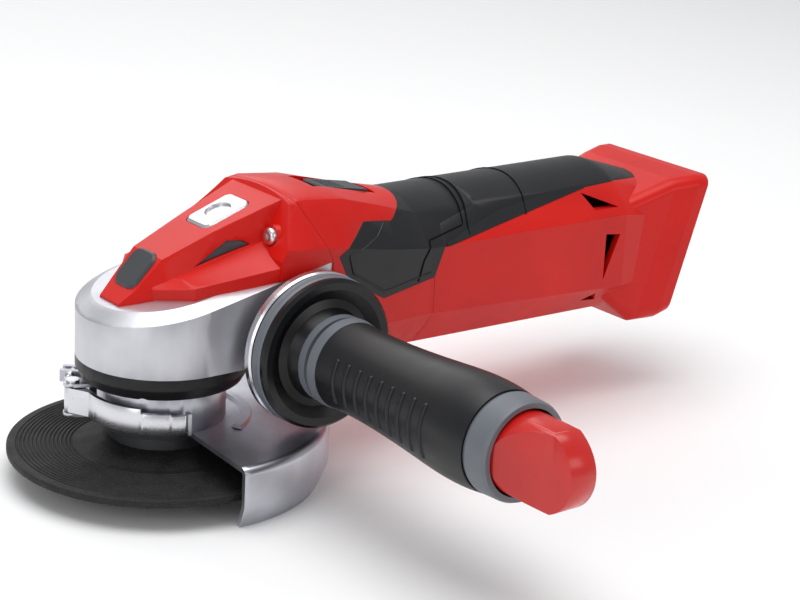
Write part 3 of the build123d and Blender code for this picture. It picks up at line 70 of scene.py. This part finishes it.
# finishes: what a look leaves out comes from plainLook
plainLook = {"metal": 0.0, "specular": 0.5, "brushed": 0.0, "stretch": (1, 1, 1), "patch": 28,
             "smear": 120, "depth": 0.06}
finishes = {
    "redNylon": {"colour": (0.66, 0.009, 0.004), "deep": (0.56, 0.006, 0.003),
                 "rough": (0.27, 0.38), "grain": 2600, "bump": 0.2, "specular": 0.3},
    "redKnob": {"colour": (0.64, 0.012, 0.007), "deep": (0.5, 0.008, 0.005),
                "rough": (0.2, 0.3), "grain": 2200, "bump": 0.15, "specular": 0.6},
    "softRubber": {"colour": (0.0075, 0.008, 0.0095), "deep": (0.005, 0.0053, 0.0065),
                   "rough": (0.33, 0.44), "grain": 3000, "bump": 0.25, "specular": 0.42},
    # near-black matte finish for the seam beads, darker than the rubber: painted shade for the
    # gaps along the grip seams
    "seamShadeBlack": {"colour": (0.003, 0.003, 0.003), "deep": (0.002, 0.002, 0.002),
                  "rough": (0.6, 0.8), "grain": 2000, "bump": 0.2, "specular": 0.1},
    "blackPlastic": {"colour": (0.006, 0.0062, 0.007), "deep": (0.0035, 0.0035, 0.0045),
                     "rough": (0.24, 0.34), "grain": 2400, "bump": 0.2, "specular": 0.35},
    "greyPlastic": {"colour": (0.045, 0.05, 0.056), "deep": (0.032, 0.036, 0.041),
                    "rough": (0.35, 0.48), "grain": 2400, "bump": 0.3},
    "greyRing": {"colour": (0.16, 0.175, 0.2), "deep": (0.12, 0.132, 0.15),
                 "rough": (0.34, 0.46), "grain": 2400, "bump": 0.3},
    "blastedAluminium": {"colour": (0.66, 0.66, 0.7), "deep": (0.54, 0.54, 0.58),
                         "rough": (0.34, 0.44), "grain": 1900, "bump": 0.5, "metal": 0.9,
                         "patch": 45},
    "blackCasting": {"colour": (0.009, 0.009, 0.0105), "deep": (0.006, 0.006, 0.007),
                     "rough": (0.34, 0.46), "grain": 1500, "bump": 0.35, "specular": 0.35},
    "zincSheet": {"colour": (0.6, 0.6, 0.65), "deep": (0.47, 0.47, 0.52), "rough": (0.26, 0.38),
                  "grain": 1400, "bump": 0.3, "metal": 1.0, "brushed": 0.3, "patch": 60,
                  "stretch": (1, 1, 0.15)},
    "brightMetal": {"colour": (0.78, 0.78, 0.81), "deep": (0.66, 0.66, 0.7),
                    "rough": (0.2, 0.32), "grain": 1800, "bump": 0.25, "metal": 1.0,
                    "stretch": (1, 0.2, 1)},
    "groundSteel": {"colour": (0.58, 0.58, 0.6), "deep": (0.46, 0.46, 0.48),
                    "rough": (0.2, 0.32), "grain": 1600, "bump": 0.25, "metal": 1.0,
                    "rings": 900},
    "darkSteel": {"colour": (0.15, 0.155, 0.165), "deep": (0.09, 0.093, 0.1),
                  "rough": (0.3, 0.44), "grain": 1600, "bump": 0.3, "metal": 0.8, "rings": 500},
    "boundGrit": {"colour": (0.017, 0.0152, 0.0142), "deep": (0.0075, 0.007, 0.0068),
                  "rough": (0.5, 0.72), "grain": 1500, "bump": 0.9, "depth": 0.16,
                  "fleck": (0.055, 0.05, 0.046), "fleckScale": 1100, "patch": 160,
                  "specular": 0.35},
    "brass": {"colour": (0.7, 0.52, 0.22), "deep": (0.55, 0.4, 0.16), "rough": (0.25, 0.4),
              "grain": 1500, "bump": 0.2, "metal": 1.0},
    "copper": {"colour": (0.7, 0.3, 0.16), "deep": (0.5, 0.2, 0.1), "rough": (0.3, 0.5),
               "grain": 900, "bump": 0.5, "metal": 1.0, "stretch": (0.15, 1, 1)},
    "carbon": {"colour": (0.03, 0.03, 0.031), "deep": (0.018, 0.018, 0.019),
               "rough": (0.5, 0.7), "grain": 1500, "bump": 0.4},
    "leadCover": {"colour": (0.05, 0.05, 0.055), "deep": (0.03, 0.03, 0.033),
                  "rough": (0.4, 0.55), "grain": 2000, "bump": 0.2},
    "studioPaper": {"colour": (0.97, 0.97, 0.97), "deep": (0.95, 0.95, 0.95),
                    "rough": (0.85, 0.95), "grain": 300, "bump": 0.05, "patch": 2},
}


def cloudOf(tree, source, scale, detail):
    cloud = tree.nodes.new("ShaderNodeTexNoise")
    cloud.inputs["Scale"].default_value = scale
    cloud.inputs["Detail"].default_value = detail
    tree.links.new(source, cloud.inputs["Vector"])
    return cloud.outputs["Fac"]


def rampOf(tree, factor, low, high):
    # low and high are (place on the ramp, colour)
    ramp = tree.nodes.new("ShaderNodeValToRGB")
    for stop, (place, colour) in zip(ramp.color_ramp.elements, (low, high)):
        stop.position = place
        stop.color = (*colour, 1)
    tree.links.new(factor, ramp.inputs["Fac"])
    return ramp.outputs["Color"]


def addFlecks(tree, source, colour, look):
    # bright grit that shows through the surface
    spots = tree.nodes.new("ShaderNodeTexVoronoi")
    spots.inputs["Scale"].default_value = look["fleckScale"]
    tree.links.new(source, spots.inputs["Vector"])
    share = rampOf(tree, spots.outputs["Distance"], (0.1, (1, 1, 1)), (0.28, (0, 0, 0)))
    mixed = tree.nodes.new("ShaderNodeMix")
    mixed.data_type = "RGBA"
    mixed.inputs[7].default_value = (*look["fleck"], 1)
    tree.links.new(share, mixed.inputs[0])
    tree.links.new(colour, mixed.inputs[6])
    return mixed.outputs[2]


def addRings(tree, source, grain, scale):
    # fine rings round the spindle, left by the lathe or the grinder
    waves = tree.nodes.new("ShaderNodeTexWave")
    waves.wave_type = "RINGS"
    waves.rings_direction = "Z"
    waves.inputs["Scale"].default_value = scale
    waves.inputs["Distortion"].default_value = 0.35
    waves.inputs["Detail"].default_value = 2
    tree.links.new(source, waves.inputs["Vector"])
    both = tree.nodes.new("ShaderNodeMath")
    both.operation = "ADD"
    tree.links.new(grain, both.inputs[0])
    tree.links.new(waves.outputs["Fac"], both.inputs[1])
    return both.outputs["Value"]


def makeFinish(name):
    # colour drifts over wide patches, gloss over middle ones, and fine grain makes the bump
    look = {**plainLook, **finishes[name]}
    finish = bpy.data.materials.new(name)
    finish.use_nodes = True
    tree = finish.node_tree
    shader = tree.nodes["Principled BSDF"]
    shader.inputs["Metallic"].default_value = look["metal"]
    shader.inputs["Specular IOR Level"].default_value = look["specular"]
    shader.inputs["Anisotropic"].default_value = look["brushed"]
    place = tree.nodes.new("ShaderNodeTexCoord").outputs["Object"]
    stretch = tree.nodes.new("ShaderNodeMapping")
    stretch.inputs["Scale"].default_value = look["stretch"]
    tree.links.new(place, stretch.inputs["Vector"])
    drawn = stretch.outputs["Vector"]

    patches = cloudOf(tree, place, look["patch"], 3)
    colour = rampOf(tree, patches, (0.3, look["deep"]), (0.7, look["colour"]))
    if "fleck" in look:
        colour = addFlecks(tree, place, colour, look)
    tree.links.new(colour, shader.inputs["Base Color"])

    gloss = tree.nodes.new("ShaderNodeMapRange")
    gloss.inputs["To Min"].default_value, gloss.inputs["To Max"].default_value = look["rough"]
    tree.links.new(cloudOf(tree, drawn, look["smear"], 5), gloss.inputs["Value"])
    tree.links.new(gloss.outputs["Result"], shader.inputs["Roughness"])

    height = cloudOf(tree, drawn, look["grain"], 4)
    if "rings" in look:
        height = addRings(tree, place, height, look["rings"])
    bump = tree.nodes.new("ShaderNodeBump")
    bump.inputs["Strength"].default_value = look["bump"]
    bump.inputs["Distance"].default_value = look["depth"] * mm
    tree.links.new(height, bump.inputs["Height"])
    tree.links.new(bump.outputs["Normal"], shader.inputs["Normal"])
    return finish


made = {name: makeFinish(name) for name in finishes}
print("finishes made")

# the CAD pieces show as they are, each with its finish, and the pieces listed in softened with
# softer edges
slotFinish = {
    "steel": "groundSteel", "dark_steel": "darkSteel", "bright_steel": "brightMetal",
    "bright_metal": "brightMetal", "guard_steel": "zincSheet",
    "cast_aluminium": "blastedAluminium", "black_casting": "blackCasting",
    "abrasive": "boundGrit", "red_shell": "redNylon", "grey_plastic": "greyPlastic",
    "grey_ring": "greyRing", "black_plastic": "blackPlastic", "soft_grip": "softRubber",
    "brass": "brass", "copper": "copper", "carbon": "carbon", "lead_cover": "leadCover",
}
ownFinish = {"end_knob": "redKnob"}
softened = {  # rounding of the edges, in millimetres
    "gear_housing": 0.5, "bearing_cover": 0.3, "head_cover": 0.6, "motor_housing": 0.6,
    "front_grip": 0.2, "rear_grip": 0.2, "handle_shell_left": 0.7, "handle_shell_right": 0.7,
    "guard_shell": 0.25, "guard_collar": 0.25, "clamp_lever": 0.25, "lock_button": 0.5,
    "cover_pad": 0.4, "switch_slider": 0.25, "battery_shoe": 0.4, "vent_inserts": 0.2,
    "end_knob": 0.9,
}
edgeLook = {"weld": 0.01, "segments": 2, "angle": 24}


def dress(node, finishName):
    piece = frame["nodes"][node]
    piece.data.materials.clear()
    piece.data.materials.append(made[finishName])
    if node in softened:
        weld = piece.modifiers.new("join faces", "WELD")
        weld.merge_threshold = edgeLook["weld"] * mm
        bevel = piece.modifiers.new("soft edges", "BEVEL")
        bevel.width = softened[node] * mm
        bevel.segments = edgeLook["segments"]
        bevel.limit_method = "ANGLE"
        bevel.angle_limit = math.radians(edgeLook["angle"])
        bevel.harden_normals = True
        bevel.use_clamp_overlap = True


for entry in frame["record"]["subparts"]:
    dress(entry["node"], ownFinish.get(entry["node"], slotFinish[entry["material_slot"]]))
print("CAD pieces dressed")


# helpers for the turned, coiled and traced pieces
def addPiece(mesh, finishName, body):
    mesh.materials.append(made[finishName])
    piece = bpy.data.objects.new(mesh.name, mesh)
    bpy.context.scene.collection.objects.link(piece)
    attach(piece, body)
    return piece


def meshOf(name, points, faces, sharp=None):
    # points in millimetres; sharp is the angle in degrees above which an edge stays crisp
    mesh = bpy.data.meshes.new(name)
    mesh.from_pydata([point * mm for point in points], [], faces)
    shaper = bmesh.new()
    shaper.from_mesh(mesh)
    bmesh.ops.recalc_face_normals(shaper, faces=shaper.faces)
    shaper.to_mesh(mesh)
    shaper.free()
    mesh.shade_smooth()
    if sharp:
        mesh.set_sharp_from_angle(angle=math.radians(sharp))
    return mesh


def turnedMesh(name, profile, origin, along):
    # profile is a closed run of (distance along the axis, radius) about an axis through origin
    along = Vector(along).normalized()
    side = along.orthogonal().normalized()
    other = along.cross(side)
    count = 128
    points, faces = [], []
    for reach, radius in profile:
        for step in range(count):
            angle = 2 * math.pi * step / count
            spoke = side * math.cos(angle) + other * math.sin(angle)
            points.append(Vector(origin) + along * reach + spoke * radius)
    for row in range(len(profile)):
        low, high = row * count, (row + 1) % len(profile) * count
        for step in range(count):
            after = (step + 1) % count
            faces.append((low + step, low + after, high + after, high + step))
    return meshOf(name, points, faces, sharp=38)


def beadMesh(name, runs, radius, sides=8):
    # one closed tube along each run of points
    points, faces = [], []
    for run in runs:
        run = [Vector(point) for point in run]
        start, last = len(points), len(run) - 1
        side = (run[1] - run[0]).normalized().orthogonal()
        for i, point in enumerate(run):
            heading = (run[min(i + 1, last)] - run[max(i - 1, 0)]).normalized()
            # the side vector is carried along, so the tube never twists
            side = (side - heading * side.dot(heading)).normalized()
            other = heading.cross(side).normalized()
            swell = radius * (0.35 if i in (0, last) else 1)
            for step in range(sides):
                angle = 2 * math.pi * step / sides
                points.append(point + (side * math.cos(angle) + other * math.sin(angle)) * swell)
        for i in range(last):
            low, high = start + i * sides, start + (i + 1) * sides
            for step in range(sides):
                after = (step + 1) % sides
                faces.append((low + step, low + after, high + after, high + step))
        faces.append(tuple(start + step for step in reversed(range(sides))))
        faces.append(tuple(start + last * sides + step for step in range(sides)))
    return meshOf(name, points, faces)


def surfaceOf(*nodes):
    # one search tree over several CAD pieces
    shaper = bmesh.new()
    for node in nodes:
        shaper.from_mesh(frame["nodes"][node].data)
    tree = BVHTree.FromBMesh(shaper)
    shaper.free()
    return tree


def castOn(tree, start, heading):
    # the point and normal where a ray meets the surface, in millimetres, or None
    place, normal = tree.ray_cast(Vector(start) * mm, Vector(heading))[:2]
    return None if place is None else (place / mm, normal)


def spaced(corners, gap):
    # points along a polyline, about gap apart
    out = [Vector(corners[0])]
    for first, second in zip(corners, corners[1:]):
        first, second = Vector(first), Vector(second)
        steps = max(1, round((second - first).length / gap))
        out += [first.lerp(second, step / steps) for step in range(1, steps + 1)]
    return out


def flankRun(tree, corners, side, lift):
    # a line of the side view (x, z) laid on one flank; side -1 is the side handle's
    hits = [castOn(tree, (x, side * 60, z), (0, -side, 0)) for x, z in spaced(corners, 0.8)]
    return [place + normal * lift for place, normal in filter(None, hits)]


def hoopRun(tree, topX, bow, reach, centreZ, lift):
    # a bowed line over the back, reach degrees down each side of the top
    run = []
    half = round(reach / 1.5)
    for step in range(-half, half + 1):
        angle = math.radians(reach * step / half)
        x = topX - bow * (1 - math.cos(angle))
        outward = Vector((0, -math.sin(angle), math.cos(angle)))
        hit = castOn(tree, Vector((x, 0, centreZ)) + outward * 70, -outward)
        if hit:
            run.append(hit[0] + hit[1] * lift)
    return run


# grinding disc: flat hub, cone, then the grooved working face
discLook = {"thick": 3.0, "hubEdge": 21.6, "coneFoot": 29.9, "rimStart": 30.8,
            "grooveFirst": 33.0, "grooveLast": 54.5, "groovePitch": 1.55, "grooveDepth": 0.4}


def addDisc():
    low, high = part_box("grinding_disc")
    edge = min(high.x, -low.x) / mm
    bottom, top = low.z / mm, high.z / mm
    rimTop = bottom + discLook["thick"]
    hubUnder = top - discLook["thick"]
    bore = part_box("disc_bush")[1].x / mm + 0.02
    hubEdge, coneFoot = discLook["hubEdge"], discLook["coneFoot"]
    profile = [(top, bore), (top, hubEdge), (top - 0.2, hubEdge + 0.7),
               (rimTop + 0.3, coneFoot), (rimTop, discLook["rimStart"])]
    reach, half = discLook["grooveFirst"], discLook["groovePitch"] / 2
    floor = rimTop - discLook["grooveDepth"]
    while reach < discLook["grooveLast"]:
        profile += [(rimTop, reach), (floor, reach + half * 0.5), (floor, reach + half * 0.9),
                    (rimTop, reach + half * 1.4)]
        reach += discLook["groovePitch"]
    # worn round edge, then back along the underside
    profile += [(rimTop, edge - 0.7), (rimTop - 0.25, edge - 0.15), (rimTop - 0.6, edge),
                (bottom + 0.6, edge), (bottom + 0.25, edge - 0.15), (bottom, edge - 0.7),
                (bottom, coneFoot - 0.5), (bottom + 0.3, coneFoot - 1.0),
                (hubUnder, hubEdge - 0.8), (hubUnder, bore)]
    mesh = turnedMesh("groovedDisc", profile, (0, 0, 0), (0, 0, 1))
    piece = addPiece(mesh, "boundGrit", "spindle")
    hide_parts("grinding_disc")


addDisc()
print("disc turned")

# side handle: a grooved band round the flange and cross ribs where the palm lies
bandLook = {"from": 42.0, "to": 46.6, "proud": 0.22}
ribLook = {"count": 9, "from": 74.0, "pitch": 6.6, "spread": 32.0, "radius": 1.15,
           "sink": 0.45, "steps": 24}


def addFlangeBand(centre, edge):
    first, last, proud = bandLook["from"], bandLook["to"], edge + bandLook["proud"]
    profile = [(first, edge - 1.5), (first, edge - 0.1), (first + 0.25, proud),
               (first + 1.7, proud), (first + 1.95, edge + 0.05), (first + 2.2, proud),
               (last - 0.5, edge + 0.16), (last, edge - 0.2), (last, edge - 1.5)]
    addPiece(turnedMesh("flangeBand", profile, centre, (0, -1, 0)), "greyRing",
             "side_handle")


def addGripRibs(centre):
    grip = surfaceOf("handle_grip")
    runs = []
    for facing in (-1, 1):
        for rib in range(ribLook["count"]):
            reach = ribLook["from"] + rib * ribLook["pitch"]
            run = []
            for step in range(ribLook["steps"] + 1):
                share = 2 * step / ribLook["steps"] - 1
                angle = math.radians(share * ribLook["spread"])
                outward = Vector((facing * math.cos(angle), 0, math.sin(angle)))
                start = Vector((centre[0], -reach, centre[2])) + outward * 60
                hit = castOn(grip, start, -outward)
                if hit:
                    run.append(hit[0] - outward * ribLook["sink"])
            runs.append(run)
    addPiece(beadMesh("gripRibs", runs, ribLook["radius"]), "softRubber",
             "side_handle")


handleLow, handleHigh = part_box("handle_core")
handleCentre = ((handleLow.x + handleHigh.x) / 2 / mm, 0, (handleLow.z + handleHigh.z) / 2 / mm)
addFlangeBand(handleCentre, (handleHigh.x - handleLow.x) / 2 / mm)
addGripRibs(handleCentre)
print("side handle trimmed")

# lock spring: a real coil; its end turns lie closed
springLook = {"turns": 5.5, "wire": 0.38, "closedShare": 0.12, "keep": 0.6}


def addLockSpring():
    low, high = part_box("lock_spring")
    centre = (low + high) / 2 / mm
    wire, closed = springLook["wire"], springLook["closedShare"]
    radius = (high.x - low.x) / 2 / mm - wire
    bottom, top = low.z / mm + wire, high.z / mm - wire
    steps = 160
    run = []
    for step in range(steps + 1):
        share = step / steps
        rise = min(max((share - closed) / (1 - 2 * closed), 0), 1)
        angle = 2 * math.pi * springLook["turns"] * share
        run.append((centre.x + radius * math.cos(angle), centre.y + radius * math.sin(angle),
                    bottom + (top - bottom) * rise))
    mesh = beadMesh("coiledLockSpring", [run], wire)
    piece = addPiece(mesh, "groundSteel", "tool")
    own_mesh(piece)
    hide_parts("lock_spring")


addLockSpring()
print("spring coiled")

# seams of the main body, laid as near-black matte beads that are painted shade in the seam gaps,
# in millimetres and degrees
seamLook = {
    "radius": 0.34, "lift": 0.05, "sides": 6, "hoopCentre": 72.0,
    # side view (x, z) of the front seam
    "flank": [(95.5, 64.0), (98.0, 72.0), (102.5, 79.0), (121.5, 82.0)],
    # hoops over the back: x at the top, bow, degrees down each side
    "hoops": [(126.5, 8.0, 67.5), (130.0, 10.0, 78.0), (160.0, 9.0, 69.0)],
}
# black sheet under the rear grip in the grip's rubber finish: it straightens the grip's lower
# line and is painted shade for the recessed gap there, between two edges of the side view (x, z)
hemShadeLook = {
    "low": [(109.5, 76.0), (190.0, 87.0)],
    "high": [(109.5, 77.3), (141.0, 84.6), (174.0, 87.5), (190.0, 88.0)],
    "lift": 0.22, "sink": 0.5, "columns": 40, "rows": 5,
}
# raised bead along the front grip's border, as (x, z)
beadLook = {
    "radius": 0.5, "lift": -0.1,
    "border": [(88.0, 92.0), (76.0, 84.5), (60.5, 80.0), (62.5, 73.0), (78.5, 63.2),
               (102.5, 66.8)],
}


def addGripSeamShade():
    grips = surfaceOf("front_grip", "rear_grip")
    lift = seamLook["lift"]
    runs = [flankRun(grips, seamLook["flank"], side, lift) for side in (-1, 1)]
    back = surfaceOf("front_grip", "rear_grip", "handle_shell_left", "handle_shell_right")
    for topX, bow, reach in seamLook["hoops"]:
        runs.append(hoopRun(back, topX, bow, reach, seamLook["hoopCentre"], lift))
    # the near-black seam beads are painted shade for the gaps between the grip pieces
    addPiece(beadMesh("gripSeamShade", runs, seamLook["radius"], seamLook["sides"]), "seamShadeBlack",
             "tool")


def heightAt(edge, x):
    # z of an edge of the side view at x
    for (fromX, fromZ), (toX, toZ) in zip(edge, edge[1:]):
        if x <= toX:
            break
    return fromZ + (toZ - fromZ) * (x - fromX) / (toX - fromX)


def addRearGripShadeHem():
    # a thin closed sheet on each flank: a black band of painted shade along the gap under the
    # rear grip
    tree = surfaceOf("front_grip", "rear_grip", "handle_shell_left", "handle_shell_right",
                     "motor_housing")
    columns, rows = hemShadeLook["columns"], hemShadeLook["rows"]
    layer = (columns + 1) * rows
    firstX, lastX = hemShadeLook["low"][0][0], hemShadeLook["low"][-1][0]
    points, faces = [], []
    for side in (-1, 1):
        hits = []
        for column in range(columns + 1):
            x = firstX + (lastX - firstX) * column / columns
            low, high = heightAt(hemShadeLook["low"], x), heightAt(hemShadeLook["high"], x)
            for row in range(rows):
                z = low + (high - low) * row / (rows - 1)
                hits.append(castOn(tree, (x, side * 60, z), (0, -side, 0)))
        start = len(points)
        points += [place + normal * hemShadeLook["lift"] for place, normal in hits]
        points += [place - normal * hemShadeLook["sink"] for place, normal in hits]

        def corner(column, row, under):
            return start + under * layer + column * rows + row

        for column in range(columns):
            for row in range(rows - 1):
                for under in (0, 1):
                    faces.append((corner(column, row, under), corner(column + 1, row, under),
                                  corner(column + 1, row + 1, under),
                                  corner(column, row + 1, under)))
            for row in (0, rows - 1):
                faces.append((corner(column, row, 0), corner(column + 1, row, 0),
                              corner(column + 1, row, 1), corner(column, row, 1)))
        for column in (0, columns):
            for row in range(rows - 1):
                faces.append((corner(column, row, 0), corner(column, row + 1, 0),
                              corner(column, row + 1, 1), corner(column, row, 1)))
    addPiece(meshOf("rearGripShadeHem", points, faces, sharp=38), "softRubber", "tool")


def addGripBeads():
    front = surfaceOf("front_grip")
    runs = [flankRun(front, beadLook["border"], side, beadLook["lift"]) for side in (-1, 1)]
    addPiece(beadMesh("gripBeads", runs, beadLook["radius"]), "softRubber", "tool")


addGripSeamShade()
addRearGripShadeHem()
addGripBeads()
print("seams laid")

# floor, light and camera, in metres
floorHalf = 4.0
softBoxes = {
    "topLight": {"place": (0.05, 0.05, 1.2), "target": (0.08, -0.03, 0.05),
                 "size": (1.1, 1.1), "power": 10.5},
    "frontLight": {"place": (-1.3, -0.5, 0.55), "target": (0.05, 0, 0.05),
                   "size": (0.6, 0.9), "power": 3.4},
    "sideLight": {"place": (0.6, -1.6, 0.7), "target": (0.1, -0.05, 0.05),
                  "size": (0.9, 0.5), "power": 2.6},
    "rearLight": {"place": (0.4, 1.4, 0.9), "target": (0.1, 0, 0.05),
                  "size": (1.3, 0.7), "power": 4},
}
airLook = {"colour": (0.97, 0.98, 1.0), "strength": 0.46}
viewFrom = {"place": (-0.3945, -0.6300, 0.3085), "turn": -0.67704, "rise": 0.31497,
            "roll": 0.05298, "lens": 94.895, "sensor": 36, "near": 0.01, "far": 50}


def addFloor():
    low = cadBox[0][2]
    mesh = bpy.data.meshes.new("floor")
    corners = [(-floorHalf, -floorHalf, low), (floorHalf, -floorHalf, low),
               (floorHalf, floorHalf, low), (-floorHalf, floorHalf, low)]
    mesh.from_pydata(corners, [], [(0, 1, 2, 3)])
    mesh.materials.append(made["studioPaper"])
    floor = bpy.data.objects.new("floor", mesh)
    bpy.context.scene.collection.objects.link(floor)


def addSoftBox(name, place, target, size, power):
    lamp = bpy.data.lights.new(name, "AREA")
    lamp.shape = "RECTANGLE"
    lamp.size, lamp.size_y = size
    lamp.energy = power
    holder = bpy.data.objects.new(name, lamp)
    bpy.context.scene.collection.objects.link(holder)
    holder.location = place
    aim = Vector(target) - Vector(place)
    holder.rotation_euler = aim.to_track_quat("-Z", "Y").to_euler()


def addAir():
    world = bpy.data.worlds.new("studio air")
    bpy.context.scene.world = world
    world.use_nodes = True
    air = world.node_tree.nodes["Background"]
    air.inputs["Color"].default_value = (*airLook["colour"], 1)
    air.inputs["Strength"].default_value = airLook["strength"]
    bpy.context.scene.view_settings.view_transform = "Standard"


def addCamera():
    turn, rise, roll = viewFrom["turn"], viewFrom["rise"], viewFrom["roll"]
    back = Vector((math.sin(turn) * math.cos(rise), -math.cos(turn) * math.cos(rise),
                   math.sin(rise)))
    right = Vector((math.cos(turn), math.sin(turn), 0))
    up = back.cross(right)
    rolledRight = right * math.cos(roll) + up * math.sin(roll)
    rolledUp = up * math.cos(roll) - right * math.sin(roll)
    pose = Matrix((rolledRight, rolledUp, back)).transposed().to_4x4()
    pose.translation = Vector(viewFrom["place"])
    lens = bpy.data.cameras.new("camera")
    lens.sensor_width = viewFrom["sensor"]
    lens.lens = viewFrom["lens"]
    lens.clip_start, lens.clip_end = viewFrom["near"], viewFrom["far"]
    camera = bpy.data.objects.new("camera", lens)
    bpy.context.scene.collection.objects.link(camera)
    camera.matrix_world = pose
    bpy.context.scene.camera = camera


addFloor()
for name, box in softBoxes.items():
    addSoftBox(name, **box)
addAir()
addCamera()
print("stage set")

bpy.context.view_layer.update()
